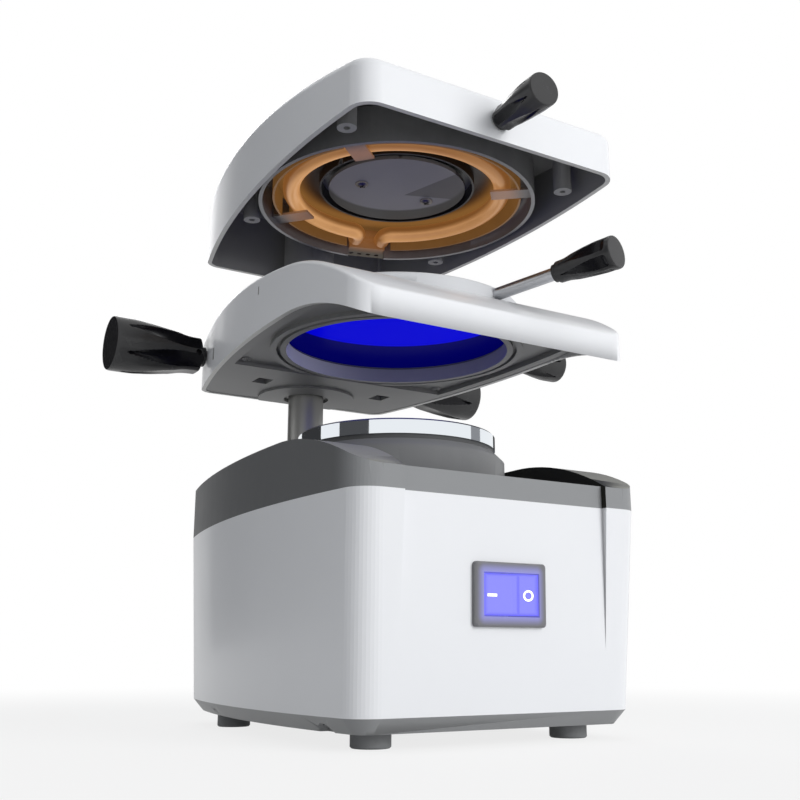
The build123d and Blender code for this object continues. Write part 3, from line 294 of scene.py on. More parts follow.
def make_finishes(look, sizes):
    """Every material of the object, by a plain name."""
    made = dict(
        white=moulded(
            "white_enamel", tuple(look.casing_color), 0.30, 900.0, 0.000012, 0.015, 0.4,
            Coat_Weight=0.12, Coat_Roughness=0.10,
        ),
        cap=cap_finish(tuple(look.cap_color)),
        throat=throat_finish(),
        bezel=bezel_finish(),
        rocker=rocker_finish(tuple(look.rocker_color)),
        mark=mark_finish(),
        handle=handle_finish("handle_black", (0.050, 0.050, 0.051)),
        # painted shade: a darker copy of the handle plastic, put in the scoops, on the grips' end faces and
        # in the set-screw holes
        shaded_scoop=handle_finish("handle_scoops", (0.004, 0.004, 0.006)),
        chrome=chrome_finish(),
        sheet=sheet_finish(tuple(look.sheet_color)),
        element=element_finish(sizes, tuple(look.element_color)),
        pan=pan_finish(),
        disc=disc_finish(),
    )
    made.update({name: moulded(*row) for name, row in PLASTICS.items()})
    made.update({name: metal(*row) for name, row in METALS.items()})
    made.update({name: painted_glow_steel(sizes, *row) for name, row in PAINTED_GLOW_STEELS.items()})
    return {name: finish.material for name, finish in made.items()}


def cap_finish(color):
    """The dark moulding, with painted light that makes it paler on its front, where the corners turn to face
    it.
    """
    made = Finish("grey_moulding", Base_Color=color, Roughness=0.42, Specular_IOR_Level=0.15)
    (y,) = made.axes("y")
    front = -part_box("base_cap")[0].y
    # painted light: faces near the front take a paler copy of the cap's colour
    painted_front_light = made.ease(0.0 - y, front - 19.0 * MM, front - 3.0 * MM)
    cloud = made.noise(18.0, 4.0)
    made.feed(
        Base_Color=made.blend(painted_front_light * (0.97 + cloud * 0.06), color, shade(color, 1.93)),
        Roughness=0.35 + cloud * 0.15,
    )
    return made.bump(made.noise(1500.0, 2.0), 0.25, 0.00003)


def chrome_finish():
    """Bright chrome with faint smudges, tinted blue-grey as a painted reflection of a pale blue-grey
    surround.
    """
    made = Finish("bright_chrome", Base_Color=(0.80, 0.84, 0.88), Roughness=0.05, Metallic=1.0)
    smudge = made.noise(45.0, 4.0, 0.6)
    made.feed(Roughness=0.03 + made.ease(smudge, 0.45, 0.8) * 0.08)
    return made.bump(made.noise(300.0), 0.05, 0.00001)


def handle_finish(name, color):
    """Polished black plastic with faint smudges; a darker copy of it is painted shade in a handle's scoops.
    """
    made = Finish(name, Base_Color=color, Roughness=0.24, Specular_IOR_Level=0.25)
    smudge = made.noise(60.0, 4.0, 0.6)
    made.feed(
        Base_Color=made.blend(smudge, shade(color, 0.75), color),
        Roughness=0.18 + smudge * 0.14,
    )
    return made.bump(made.noise(700.0), 0.12, 0.000015)


def from_tube(made, sizes):
    """Distance of a point from the middle of the glowing tube."""
    x, y, z = made.axes()
    return made.length(made.length(x, y) - sizes.ring_radius, z - middle("heating_element").z)


def painted_glow_steel(sizes, name, color, rough, reach, power):
    """Sheet steel with soot over it, and a painted orange glow where the hot tube would light it."""
    made = Finish(name, Base_Color=color, Roughness=rough, Metallic=0.35, Emission_Strength=power)
    # painted light: an orange glow on the steel near the tube
    painted_light = 1 - made.ease(from_tube(made, sizes), 4.0 * MM, reach * MM)
    soot_and_painted_shade = made.noise(45.0, 5.0, 0.65)
    made.feed(
        Base_Color=made.blend(soot_and_painted_shade, shade(color, 0.55), color),
        Roughness=rough - 0.08 + soot_and_painted_shade * 0.2,
        Emission_Color=made.blend(painted_light * (0.7 + soot_and_painted_shade * 0.6), BLACK, (0.55, 0.20, 0.045)),
    )
    return made.bump(made.noise(260.0), 0.2, 0.00006)


def pan_finish():
    """The dished reflector: a painted amber glow beside the tube, and darker towards its middle."""
    made = Finish("pan_steel", Base_Color=(0.10, 0.075, 0.055), Roughness=0.40, Emission_Strength=1.0)
    reach = made.length(*made.axes("xy"))
    inner = made.ease(reach, 43.0 * MM, 57.0 * MM)
    outer = 1 - made.ease(reach, 58.0 * MM, 67.0 * MM)
    soot_and_painted_shade = made.noise(45.0, 5.0, 0.65)
    # painted light: an amber glow beside the tube, fading inwards and outwards
    painted_glow = inner * inner * (0.55 + outer * 0.45)
    made.feed(
        Base_Color=made.blend(inner, (0.012, 0.010, 0.009), (0.085, 0.057, 0.036)),
        Roughness=0.34 + soot_and_painted_shade * 0.2,
        Metallic=inner * 0.6,
        Emission_Color=made.blend(painted_glow * (0.75 + soot_and_painted_shade * 0.5), BLACK, (0.20, 0.09, 0.022)),
    )
    return made.bump(made.noise(260.0), 0.2, 0.00006)


def disc_finish():
    """The cooler disc in the middle: grey with a painted shadow of a strap in one segment, and painted shade
    on its far side.
    """
    color = (0.225, 0.22, 0.225)
    made = Finish("disc_steel", Base_Color=color, Roughness=0.42, Metallic=0.2)
    x, y = made.axes("xy")
    cloud = made.noise(22.0, 4.0)
    turn = made.maths("ARCTAN2", y - 2.0 * MM, x - 6.0 * MM)
    # painted shadow: one darker segment, where a strap shades the disc
    painted_strap_shadow = made.ease(turn, -1.30, -1.28) * (1 - made.ease(turn, -0.36, -0.34))
    strap_shadowed_grey = made.blend(painted_strap_shadow * 0.85 + cloud * 0.15, color, (0.075, 0.070, 0.072))
    edge = half("centre_disc").x
    # painted shade: near black on the disc's far side, past a circle shifted towards the front left
    soot_and_painted_shade = made.ease(made.length(x + 6.7 * MM, y + 11.1 * MM), edge - 1.0 * MM, edge + 2.0 * MM)
    made.feed(Base_Color=made.blend(soot_and_painted_shade, strap_shadowed_grey, (0.012, 0.011, 0.011)), Roughness=0.38 + cloud * 0.14)
    return made.bump(made.noise(500.0), 0.15, 0.00003)


def element_finish(sizes, color):
    """The glowing tube, with scaled oxide over it: its glow has a painted highlight below and inside, is
    painted brighter towards the back left and is painted darker elsewhere.
    """
    made = Finish(
        "element_glow", Base_Color=(0.20, 0.11, 0.05), Roughness=0.30, Metallic=0.7, Emission_Strength=1.0,
    )
    x, y, z = made.axes()
    cloud = made.noise(70.0, 4.0, 0.6)
    fine = made.noise(900.0, 2.0)
    down = (middle("heating_element").z - z) / sizes.tube_radius
    inward = (sizes.ring_radius - made.length(x, y)) / sizes.tube_radius
    # painted highlight: the glow is brightest on the lower, inner side of the tube
    painted_highlight = made.ease(down * 0.85 + inward * 0.5, 0.30, 0.98)
    # painted light: the glow is brighter towards the back left
    painted_light = made.ease(x * -0.7 + y * 0.7, -60.0 * MM, 50.0 * MM) * 0.5 + 0.5
    shaded_glow = (color[0] * 0.34, color[1] * 0.26, color[2] * 0.16)
    glow = made.blend(painted_highlight * painted_light * (0.7 + cloud * 0.6), shaded_glow, color)
    made.feed(Emission_Color=glow, Roughness=0.22 + cloud * 0.2)
    return made.bump(fine, 0.3, 0.00004)


def sheet_finish(color):
    """The clear blue sheet: a painted blue glow for its body colour, dimmer on its top face, and a painted
    shade of the clamp ring on its underside.
    """
    made = Finish(
        "sheet_blue", Base_Color=(0.0, 0.0, 0.50), Roughness=0.30, IOR=1.06, Specular_IOR_Level=0.1,
        Emission_Strength=1.0,
    )
    x, y, z = made.axes()
    cloud = made.noise(30.0, 3.0)
    level = middle("forming_sheet").z
    under = 1 - made.ease(z, level - 0.2 * MM, level + 0.2 * MM)
    # painted shade: a darker crescent on the underside, where the clamp ring's far inner wall shows through
    painted_clamp_shade = made.ease(made.length(x + 21.6 * MM, y + 36.0 * MM), 56.8 * MM, 58.2 * MM)
    below = made.blend(painted_clamp_shade, color, shade(color, 0.17))
    made.feed(
        # painted light: the sheet's blue is an emission, dimmer on its top face
        Emission_Color=made.blend(under, shade(color, 0.30), below),
        Base_Color=made.blend(painted_clamp_shade * under, (0.0, 0.0, 0.50), (0.0, 0.0, 0.06)),
        Roughness=0.26 + cloud * 0.08,
    )
    return made.bump(made.noise(160.0), 0.04, 0.00002)


def throat_finish():
    """The wall of the sheet's opening: pale on the left with painted light, and darker with a painted blue
    tint from the sheet towards the right.
    """
    made = Finish("throat_grey", Base_Color=(0.60, 0.60, 0.66), Roughness=0.40)
    (x,) = made.axes("x")
    # painted light: pale on the left, and a painted blue tint from the sheet towards the right
    painted_tint = made.ease(x, -45.0 * MM, 25.0 * MM)
    made.feed(
        Base_Color=made.blend(painted_tint, (0.95, 0.95, 0.95), (0.34, 0.34, 0.42)),
        Roughness=0.35 + made.noise(18.0, 4.0) * 0.1,
    )
    return made.bump(made.noise(1200.0, 2.0), 0.25, 0.00002)


def bezel_finish():
    """The switch's frame, with a painted glow along its inner edge, where the rocker would light it."""
    made = Finish("bezel_grey", Base_Color=(0.17, 0.17, 0.18), Roughness=0.42, Emission_Strength=0.55)
    x, z = made.axes("xz")
    at, size = middle("switch_rocker"), half("switch_rocker")
    past_x = abs(x - at.x) - size.x
    past_z = abs(z - at.z) - size.z
    away = made.length(made.largest(past_x, 0.0), made.largest(past_z, 0.0))
    # painted light from the rocker, fading within 4.4 mm of its edge
    painted_light = 1 - made.ease(away, 0.0, 4.4 * MM)
    grain = made.noise(1500.0, 2.0)
    made.feed(
        Emission_Color=made.blend(painted_light, BLACK, (0.22, 0.22, 0.85)),
        Roughness=0.36 + grain * 0.14,
    )
    return made.bump(grain, 0.2, 0.00003)


def rocker_finish(color):
    """The rocker, lit from inside and dimmer towards its edges."""
    made = Finish(
        "rocker_blue", Base_Color=(0.10, 0.10, 0.55), Roughness=0.22, Emission_Strength=1.0,
        Coat_Weight=0.3, Coat_Roughness=0.08,
    )
    x, z = made.axes("xz")
    at, size = middle("switch_rocker"), half("switch_rocker")
    off = made.largest(abs(x - at.x) / size.x, abs(z - at.z) / size.z)
    ridge = abs((x - at.x) / size.x - 0.30)
    line = (1 - made.ease(ridge, 0.02, 0.07)) * 0.55
    dim = made.largest(made.ease(off, 0.80, 1.04), line)
    deep = (color[0] * 0.12, color[1] * 0.12, color[2] * 0.42)
    made.feed(
        Emission_Color=made.blend(dim, color, deep),
        Roughness=0.18 + made.noise(90.0, 2.0) * 0.1,
    )
    return made.bump(made.noise(900.0), 0.08, 0.00002)


def mark_finish():
    """The white marks of the switch, lit from behind."""
    made = Finish(
        "switch_mark", Base_Color=(0.9, 0.9, 0.9), Roughness=0.4, Emission_Color=(1.0, 1.0, 1.0),
        Emission_Strength=0.8,
    )
    return made.feed(Roughness=0.35 + made.noise(400.0) * 0.1)


# ---- Mesh helpers ----
def add_object(name, data):
    """A new object in the scene."""
    made = bpy.data.objects.new(name, data)
    bpy.context.scene.collection.objects.link(made)
    return made


def smooth(mesh, angle):
    """Smooth shading, with sharp edges where faces meet at more than angle degrees."""
    mesh.polygons.foreach_set("use_smooth", [True] * len(mesh.polygons))
    mesh.set_sharp_from_angle(angle=math.radians(angle))


def fans_of(vert):
    """Groups the faces round a point that meet across smooth edges."""
    group = {face: face for face in vert.link_faces}

    def head(face):
        while group[face] is not face:
            face = group[face]
        return face

    for edge in vert.link_edges:
        if edge.smooth and len(edge.link_faces) == 2:
            first, second = (head(face) for face in edge.link_faces)
            group[first] = second
    fans = {}
    for face in group:
        fans.setdefault(head(face), []).append(face)
    return fans.values()


NARROW_WEIGHT = 0.02  # what a narrow face counts for beside a broad one


def settle_normals(mesh):
    """Corner normals that keep broad faces flat up to the narrow rounded faces beside them."""
    work = bmesh.new()
    work.from_mesh(mesh)
    breadth = {face: face.calc_area() / max(edge.calc_length() for edge in face.edges) for face in work.faces}
    corners = {}
    for vert in work.verts:
        for fan in fans_of(vert):
            broad = max(breadth[face] for face in fan) / 3
            total = Vector()
            for face in fan:
                total += face.normal * (1.0 if breadth[face] >= broad else NARROW_WEIGHT)
            for face in fan:
                corners[face.index, vert.index] = total.normalized()
    work.free()
    mesh.normals_split_custom_set([
        corners[face.index, vert] for face in mesh.polygons for vert in face.vertices
    ])


def dressed(node, materials, choose=None, angle=32.0, settled=True):
    """A merged, smoothly shaded copy of a CAD node that stands for it."""
    source = frame["nodes"][node]
    work = bmesh.new()
    work.from_mesh(source.data)
    bmesh.ops.remove_doubles(work, verts=work.verts, dist=WELD)
    bmesh.ops.dissolve_degenerate(work, edges=work.edges, dist=0.000002)
    work.normal_update()
    for face in work.faces:
        face.material_index = choose(face) if choose else 0
    bmesh.ops.dissolve_limit(
        work, angle_limit=0.0005, verts=work.verts, edges=work.edges, delimit={"MATERIAL"},
    )
    mesh = bpy.data.meshes.new(node + "_skin")
    work.to_mesh(mesh)
    work.free()
    for material in materials:
        mesh.materials.append(material)
    smooth(mesh, angle)
    if settled:
        settle_normals(mesh)
    made = add_object(node + "_skin", mesh)
    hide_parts(node)
    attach(made, source["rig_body"])
    return made


def paint(node, finish):
    """A material on a CAD node that keeps its own mesh."""
    mesh = frame["nodes"][node].data
    mesh.materials.clear()
    mesh.materials.append(finish)


# ---- Geometry Nodes ----
class Shape(Nodes):
    """A Geometry Nodes tree with named inputs, where None stands for a material."""

    def __init__(self, name, **inputs):
        tree = bpy.data.node_groups.new(name, "GeometryNodeTree")
        super().__init__(tree)
        tree.interface.new_socket("Geometry", in_out="INPUT", socket_type="NodeSocketGeometry")
        tree.interface.new_socket("Geometry", in_out="OUTPUT", socket_type="NodeSocketGeometry")
        self.keys = {}
        for key, value in inputs.items():
            kind = {float: "NodeSocketFloat", int: "NodeSocketInt"}.get(type(value), "NodeSocketMaterial")
            socket = tree.interface.new_socket(key, in_out="INPUT", socket_type=kind)
            if value is not None:
                socket.default_value = value
            self.keys[key] = socket.identifier
        self.entry = tree.nodes.new("NodeGroupInput")
        self.exit = tree.nodes.new("NodeGroupOutput")

    def given(self, key):
        return Value(self, self.entry.outputs[key])

    def close(self, shape, shaded_faces=None):
        """Ends the tree: instances made real and given their material, and a second, darker one as painted
        shade on the chosen faces.
        """
        done = self.node("GeometryNodeRealizeInstances", {"Geometry": shape})
        for key, chosen in (("Finish", True), ("Scoops", shaded_faces)):
            if chosen:
                values = {"Geometry": done, "Material": self.given(key), "Selection": chosen}
                done = self.node("GeometryNodeSetMaterial", values)
        self.tree.links.new(done.socket, self.exit.inputs[0])

    def build(self, name, source, finish, angle=30.0, **values):
        """Runs the tree on an object and returns the result as a plain mesh object."""
        holder = add_object(name + "_work", source)
        modifier = holder.modifiers.new(name, "NODES")
        modifier.node_group = self.tree
        for key, value in dict(values, Finish=finish).items():
            modifier[self.keys[key]] = value
        bpy.context.view_layer.update()
        graph = bpy.context.evaluated_depsgraph_get()
        mesh = bpy.data.meshes.new_from_object(holder.evaluated_get(graph), depsgraph=graph)
        mesh.name = name
        holder.modifiers.clear()
        bpy.data.objects.remove(holder)
        work = bmesh.new()
        work.from_mesh(mesh)
        bmesh.ops.remove_doubles(work, verts=work.verts, dist=0.000002)
        bmesh.ops.dissolve_degenerate(work, edges=work.edges, dist=0.000001)
        bmesh.ops.recalc_face_normals(work, faces=work.faces)
        work.to_mesh(mesh)
        work.free()
        smooth(mesh, angle)
        settle_normals(mesh)
        return add_object(name, mesh)


def handle_tree():
    """A fluted, tapered handle along +Z, from its narrow collar to its flat end, with painted shade in its
    scoops.
    """
    shape = Shape(
        "Fluted handle", Length=0.04, Collar=0.004, Neck=0.0045, End=0.0076, Flutes=6, Depth=0.085,
        Reversed=0.0, Dark_end=0.0, Phase=0.0, Finish=None, Scoops=None,
    )
    around, along = 192, 120
    grid = shape.node("GeometryNodeMeshGrid", {
        "Size X": 1.0, "Size Y": 1.0, "Vertices X": around + 1, "Vertices Y": along,
    })
    across, up = shape.split(shape.node("GeometryNodeInputPosition"), "xy")
    share = across + 0.5
    rise = up + 0.5

    def curve(*points):
        return shape.node("ShaderNodeFloatCurve", {"Value": rise}, {"points": points})

    collar, neck, end = (shape.given(key) for key in ("Collar", "Neck", "End"))
    height = curve(
        (0.0, 0.0), (0.05, 0.0), (0.09, 0.05), (0.13, 0.085),
        (0.86, 0.93), (0.91, 0.985), (0.945, 1.0), (1.0, 1.0),
    )
    opening = curve((0.0, 0.0), (0.045, 1.0), (1.0, 1.0))
    shoulder = curve((0.0, 0.0), (0.088, 0.0), (0.10, 0.62), (0.13, 1.0), (1.0, 1.0))
    swell = curve((0.0, 0.0), (0.13, 0.0), (0.40, 0.46), (0.62, 0.86), (0.76, 1.0), (1.0, 1.0))
    closing = curve((0.0, 1.0), (0.87, 1.0), (0.915, 0.985), (0.945, 0.93), (1.0, 0.0))
    radius = (collar * opening + (neck - collar) * shoulder + (end - neck) * swell) * closing
    phase = shape.maths("FRACT", share * shape.given("Flutes") + shape.given("Phase"))
    off = abs(phase - 0.5) * 2.0
    back = shape.given("Reversed")
    way = rise + back * (1.0 - rise * 2.0)
    width = 0.80 * (1 - shape.ease(way, 0.20, 0.90) ** 1.5)
    begin = 0.06 + back * 0.07
    open_wide = shape.ease(way, begin, begin + 0.07) * shape.maths("GREATER_THAN", width, 0.05)
    shaded_scoop = shape.largest(1 - (off / (width + 0.001)) ** 2.0, 0.0) * open_wide
    radius = radius * (1 - shaded_scoop * shape.given("Depth"))
    turn = share * (2 * math.pi)
    settled = shape.vector(
        radius * shape.maths("COSINE", turn),
        radius * shape.maths("SINE", turn),
        height * shape.given("Length"),
    )
    # painted shade: the scoops, and on the grips the end face, take the darker copy of the plastic
    face = shape.largest(shaded_scoop, shape.given("Dark_end") * shape.maths("GREATER_THAN", rise, 0.925))
    # Held from before the points move, because the field reads their first places
    held = shape.tree.nodes.new("GeometryNodeCaptureAttribute")
    held.capture_items.new("FLOAT", "Face")
    for index, value in enumerate((grid, face)):
        shape.tree.links.new(value.socket, held.inputs[index])
    moved = shape.node("GeometryNodeSetPosition", {
        "Geometry": Value(shape, held.outputs[0]), "Position": settled,
    })
    merged = shape.node("GeometryNodeMergeByDistance", {"Geometry": moved, "Distance": 0.000002})
    shape.close(merged, shape.maths("GREATER_THAN", Value(shape, held.outputs[1]), 0.10))
    return shape


def tube_tree():
    """A round tube swept along a curve, with closed ends."""
    shape = Shape("Swept tube", Radius=0.004, Steps=300, Sides=32, Finish=None)
    path = shape.node("GeometryNodeResampleCurve", {
        "Curve": shape.given("Geometry"), "Count": shape.given("Steps"),
    })
    profile = shape.node("GeometryNodeCurvePrimitiveCircle", {
        "Radius": shape.given("Radius"), "Resolution": shape.given("Sides"),
    })
    swept = shape.node("GeometryNodeCurveToMesh", {
        "Curve": path, "Profile Curve": profile, "Fill Caps": True,
    })
    shape.close(swept)
    return shape


def screw_tree():
    """Round-headed screws with a cross recess, one at each point of the mesh."""
    shape = Shape("Cross screws", Radius=0.003, Height=0.0014, Recess=0.0009, Finish=None)
    radius, height = shape.given("Radius"), shape.given("Height")
    ball = shape.node("GeometryNodeMeshUVSphere", {"Segments": 40, "Rings": 20, "Radius": 1.0})
    dome = shape.node("GeometryNodeTransform", {
        "Geometry": ball, "Scale": shape.vector(radius, radius, height),
    })
    bar = shape.node("GeometryNodeMeshCube", {"Size": shape.vector(radius * 1.15, radius * 0.26, height)})
    drop = shape.vector(z=height * -1.5 + shape.given("Recess"))
    cut = shape.node("GeometryNodeMeshBoolean", {"Mesh 1": dome}, {"operation": "DIFFERENCE"})
    for turn in (0.0, math.pi / 2):
        arm = shape.node("GeometryNodeTransform", {
            "Geometry": bar, "Translation": drop, "Rotation": (0.0, 0.0, turn),
        })
        shape.tree.links.new(arm.socket, cut.socket.node.inputs["Mesh 2"])
    points = shape.node("GeometryNodeInstanceOnPoints", {
        "Points": shape.given("Geometry"), "Instance": cut,
    })
    shape.close(points)
    return shape


# ---- Sizes a user would change ----
def color_property(name, description, color):
    """A colour property."""
    return FloatVectorProperty(name=name, description=description, subtype="COLOR", size=3, default=color)


def length_property(name, description, length):
    """A length property."""
    return FloatProperty(
        name=name, description=description, subtype="DISTANCE", unit="LENGTH", default=length,
    )


class FORMER_look(bpy.types.PropertyGroup):
    """Colours of the vacuum former."""

    casing_color: color_property("Casing", "Colour of the white casings", (0.80, 0.81, 0.83))
    cap_color: color_property("Cap", "Colour of the dark upper moulding", (0.140, 0.143, 0.146))
    # the sheet's colour feeds a painted blue glow
    sheet_color: color_property("Sheet", "Glow of the blue forming sheet", (0.0, 0.0, 0.50))
    element_color: color_property("Element", "Glow of the heating tube", (0.50, 0.25, 0.095))
    rocker_color: color_property("Rocker", "Glow of the lit rocker", (0.15, 0.15, 0.78))


class FORMER_sizes(bpy.types.PropertyGroup):
    """Sizes of the pieces that are made here."""

    flutes: IntProperty(name="Flutes", description="Flutes round each handle", default=6, min=3, max=16)
    flute_depth: FloatProperty(
        name="Flute depth", description="Depth of a flute as a share of the radius", default=0.085,
        min=0.0, max=0.4, subtype="FACTOR",
    )
    tube_radius: length_property("Heating tube", "Radius of the heating tube", 4.6 * MM)
    ring_radius: length_property("Heating ring", "Radius of the ring that the tube makes", 57.0 * MM)


finishes = {}


# ---- Operators ----
class FORMER_OT_finishes(bpy.types.Operator):
    """Makes every material."""

    bl_idname = "former.finishes"
    bl_label = "Finishes"

    def execute(self, context):
        finishes.update(make_finishes(context.scene.former_look, context.scene.former_sizes))
        return {"FINISHED"}


class FORMER_OT_casings(bpy.types.Operator):
    """Dresses the white casings, the dark cap and the tray."""

    bl_idname = "former.casings"
    bl_label = "Casings"

    def execute(self, context):
        head_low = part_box("head_shell")[0].z
        holder_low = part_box("holder_shell")[0].z
        inside_head = hollow_test("head_shell")
        inside_holder = hollow_test("holder_shell")

        # painted shade: the head's bottom rim and inner walls, and the holder's underside and inner walls,
        # take darker greys
        def head(face):
            if face.normal.z < -0.9 and face.calc_center_median().z < head_low + 0.2 * MM:
                return 1
            return 2 if inside_head(face) else 0

        def holder(face):
            under = face.normal.z < -0.3 and face.calc_center_median().z < holder_low + 18.0 * MM
            return int(under or inside_holder(face))

        dressed("head_shell", [finishes["white"], finishes["rim"], finishes["inside"]], head)
        dressed("holder_shell", [finishes["white"], finishes["rim"]], holder, settled=False)
        dressed("base_shell", [finishes["white"]])
        cap = [finishes[name] for name in ("cap", "cap_top", "cap_painted_shade", "ear_slope_highlight")]
        dressed("base_cap", cap, cap_test, angle=25.0)
        dressed("bottom_tray", [finishes["tray"]])
        dressed("clamp_ring", [finishes["clamp"]])
        dressed("holder_plate", [finishes["plate"], finishes["throat"]], throat_test)
        return {"FINISHED"}


def cap_test(face):
    """1 for the turret, 2 for the inner wall of the right ear, which takes painted shade, 3 for the ears'
    front slopes, which take a painted highlight, 0 elsewhere.
    """
    at, facing = face.calc_center_median(), face.normal
    if math.hypot(at.x, at.y) < 56.0 * MM:
        return 1
    if facing.x < -0.9 and at.x > 0.0 and at.z > middle("base_cap").z:
        return 2
    return 3 if facing.z > 0.1 and facing.y < -0.1 and abs(at.x) > 40.0 * MM else 0


def throat_test(face):
    """1 for the wall of the opening that the sheet spans, 0 elsewhere."""
    at = face.calc_center_median()
    return int(math.hypot(at.x, at.y) < 58.5 * MM and abs(face.normal.z) < 0.5)


def surface(node):
    """A CAD node's faces, for casting rays at them."""
    mesh = frame["nodes"][node].data
    return BVHTree.FromPolygons(
        [vert.co for vert in mesh.vertices], [tuple(face.vertices) for face in mesh.polygons],
    )


def hollow_test(node):
    """A test for faces inside a casing: their outward ray meets the casing again."""
    tree = surface(node)
    low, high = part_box(node)

    def inner(face):
        at, facing = face.calc_center_median(), face.normal
        if facing.z < -0.5:
            return at.z > low.z + 2.0 * MM
        return tree.ray_cast(at + facing * (0.2 * MM), facing, (high - low).length)[0] is not None

    return inner


# Each handle's direction, where it isn't the lever's, and its collar, neck and end radii in mm
HANDLES = {
    "grip_right": (Vector((1, 0, 0)), 5.8, 10.8, 15.4),
    "grip_left": (Vector((-1, 0, 0)), 5.8, 10.8, 15.4),
    "lever_handle": (None, 4.3, 5.2, 7.8),
    "lock_knob": (Vector((1, 0, 0)), 4.6, 6.6, 9.6),
    "head_knob": (Vector((0, -1, 0)), 5.1, 6.2, 8.0),
}
LEVER_TILT = 4.0  # degrees that the lever rises outwards
HANDLE_CREASE = 26.0  # degrees between faces at a sharp edge
HOLE_RISE = 6.5 * MM  # set-screw hole from the grip's collar
HOLE_RADIUS = 1.7 * MM
HOLE_SPAN = (8.0 * MM, 12.6 * MM)  # its ends, from the grip's axis


class FORMER_OT_handles(bpy.types.Operator):
    """Makes the five fluted handles."""

    bl_idname = "former.handles"
    bl_label = "Handles"

    def execute(self, context):
        sizes = context.scene.former_sizes
        tree = handle_tree()
        rod = middle("lever_rod")
        rod_rise = math.hypot(rod.x, rod.y) * math.tan(math.radians(LEVER_TILT))
        for node, (direction, collar, neck, end) in HANDLES.items():
            axis = direction or Vector((rod.x, rod.y, rod_rise)).normalized()
            at = middle(node) if direction else rod
            reach = [vert.co.dot(axis) for vert in frame["nodes"][node].data.vertices]
            start = at + axis * (min(reach) - at.dot(axis))
            made = tree.build(
                node + "_fluted", bpy.data.meshes.new(node), finishes["handle"], HANDLE_CREASE,
                Length=max(reach) - min(reach), Collar=collar * MM, Neck=neck * MM, End=end * MM,
                Flutes=sizes.flutes, Depth=sizes.flute_depth, Scoops=finishes["shaded_scoop"],
                Reversed=float(node == "lever_handle"), Dark_end=float(node.startswith("grip")),
                Phase=0.0 if node.endswith("knob") else 0.5,
            )
            turn = Vector((0, 0, 1)).rotation_difference(axis).to_matrix().to_4x4()
            made.data.transform(Matrix.Translation(start) @ turn)
            if node.startswith("grip"):
                pierce(made, start + axis * HOLE_RISE)
            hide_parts(node)
            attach(made, frame["nodes"][node]["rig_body"])
        return {"FINISHED"}


def pierce(made, at):
    """Bores the hole of a set screw into the front of a grip."""
    direction = Vector((0.0, -1.0, -0.05))
    work = bmesh.new()
    bmesh.ops.create_cone(
        work, cap_ends=True, segments=32, radius1=HOLE_RADIUS, radius2=HOLE_RADIUS,
        depth=HOLE_SPAN[1] - HOLE_SPAN[0],
    )
    turn = Vector((0, 0, 1)).rotation_difference(direction).to_matrix().to_4x4()
    place = Matrix.Translation(at + direction.normalized() * (sum(HOLE_SPAN) / 2)) @ turn
    bmesh.ops.transform(work, matrix=place, verts=work.verts)
    mesh = bpy.data.meshes.new("set_screw_hole")
    work.to_mesh(mesh)
    work.free()
    # painted shade: the hole's wall takes the darker copy of the handle plastic
    mesh.materials.append(finishes["shaded_scoop"])
    cutter = add_object("set_screw_hole", mesh)
    bore = made.modifiers.new("Bore", "BOOLEAN")
    bore.operation = "DIFFERENCE"
    bore.object = cutter
    bore.material_mode = "TRANSFER"
    graph = bpy.context.evaluated_depsgraph_get()
    cut = bpy.data.meshes.new_from_object(made.evaluated_get(graph), depsgraph=graph)
    made.modifiers.clear()
    bpy.data.objects.remove(cutter)
    smooth(cut, HANDLE_CREASE)
    settle_normals(cut)
    made.data = cut


TUBE_ENDS = 8.0 * MM  # each end of the heating tube from the middle between them
TUBE_BEND = 6.0 * MM  # radius of the bend between an end and the ring
TUBE_REACH = 66.5 * MM  # ends of the tube from the platform's axis
TUBE_TURN = math.radians(-16.0)  # the ends' place, from the back


class FORMER_OT_heater(bpy.types.Operator):
    """Makes the heating tube and its neighbours."""

    bl_idname = "former.heater"
    bl_label = "Heater"

    def execute(self, context):
        sizes = context.scene.former_sizes
        points = tube_points(sizes.ring_radius)
        curve = bpy.data.curves.new("tube_path", "CURVE")
        curve.dimensions = "3D"
        spline = curve.splines.new("POLY")
        spline.points.add(len(points) - 1)
        for spot, (x, y) in zip(spline.points, points):
            spot.co = (x, y, 0.0, 1.0)
        made = tube_tree().build(
            "heating_tube", curve, finishes["element"], 40.0, Radius=sizes.tube_radius, Steps=420, Sides=36,
        )
        lift = Matrix.Translation((0.0, 0.0, middle("heating_element").z))
        made.data.transform(lift @ Matrix.Rotation(TUBE_TURN, 4, "Z"))
        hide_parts("heating_element")
        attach(made, "head")
        for node, finish in dict(
            heater_shroud="shroud", reflector_pan="pan", element_brackets="strap", centre_disc="disc",
            terminal_block="ceramic", element_pins="brass", head_hub="plate", head_stud="steel",
        ).items():
            dressed(node, [finishes[finish]])
        return {"FINISHED"}


def tube_points(ring):
    """The heating tube's middle line, as (x, y): in at one end, round the ring and out at the other."""
    centre_x = TUBE_ENDS + TUBE_BEND
    centre_y = math.sqrt((ring + TUBE_BEND) ** 2 - centre_x**2)
    meet = math.atan2(centre_y, centre_x)
    right = [(TUBE_ENDS, TUBE_REACH), (TUBE_ENDS, (TUBE_REACH + centre_y) / 2)]
    for turn in np.linspace(math.pi, math.pi + meet, 9):
        right.append((centre_x + TUBE_BEND * math.cos(turn), centre_y + TUBE_BEND * math.sin(turn)))
    turns = np.linspace(meet, -math.pi - meet, 161)[1:-1]
    around = [(ring * math.cos(turn), ring * math.sin(turn)) for turn in turns]
    return right + around + [(-x, y) for x, y in reversed(right)]


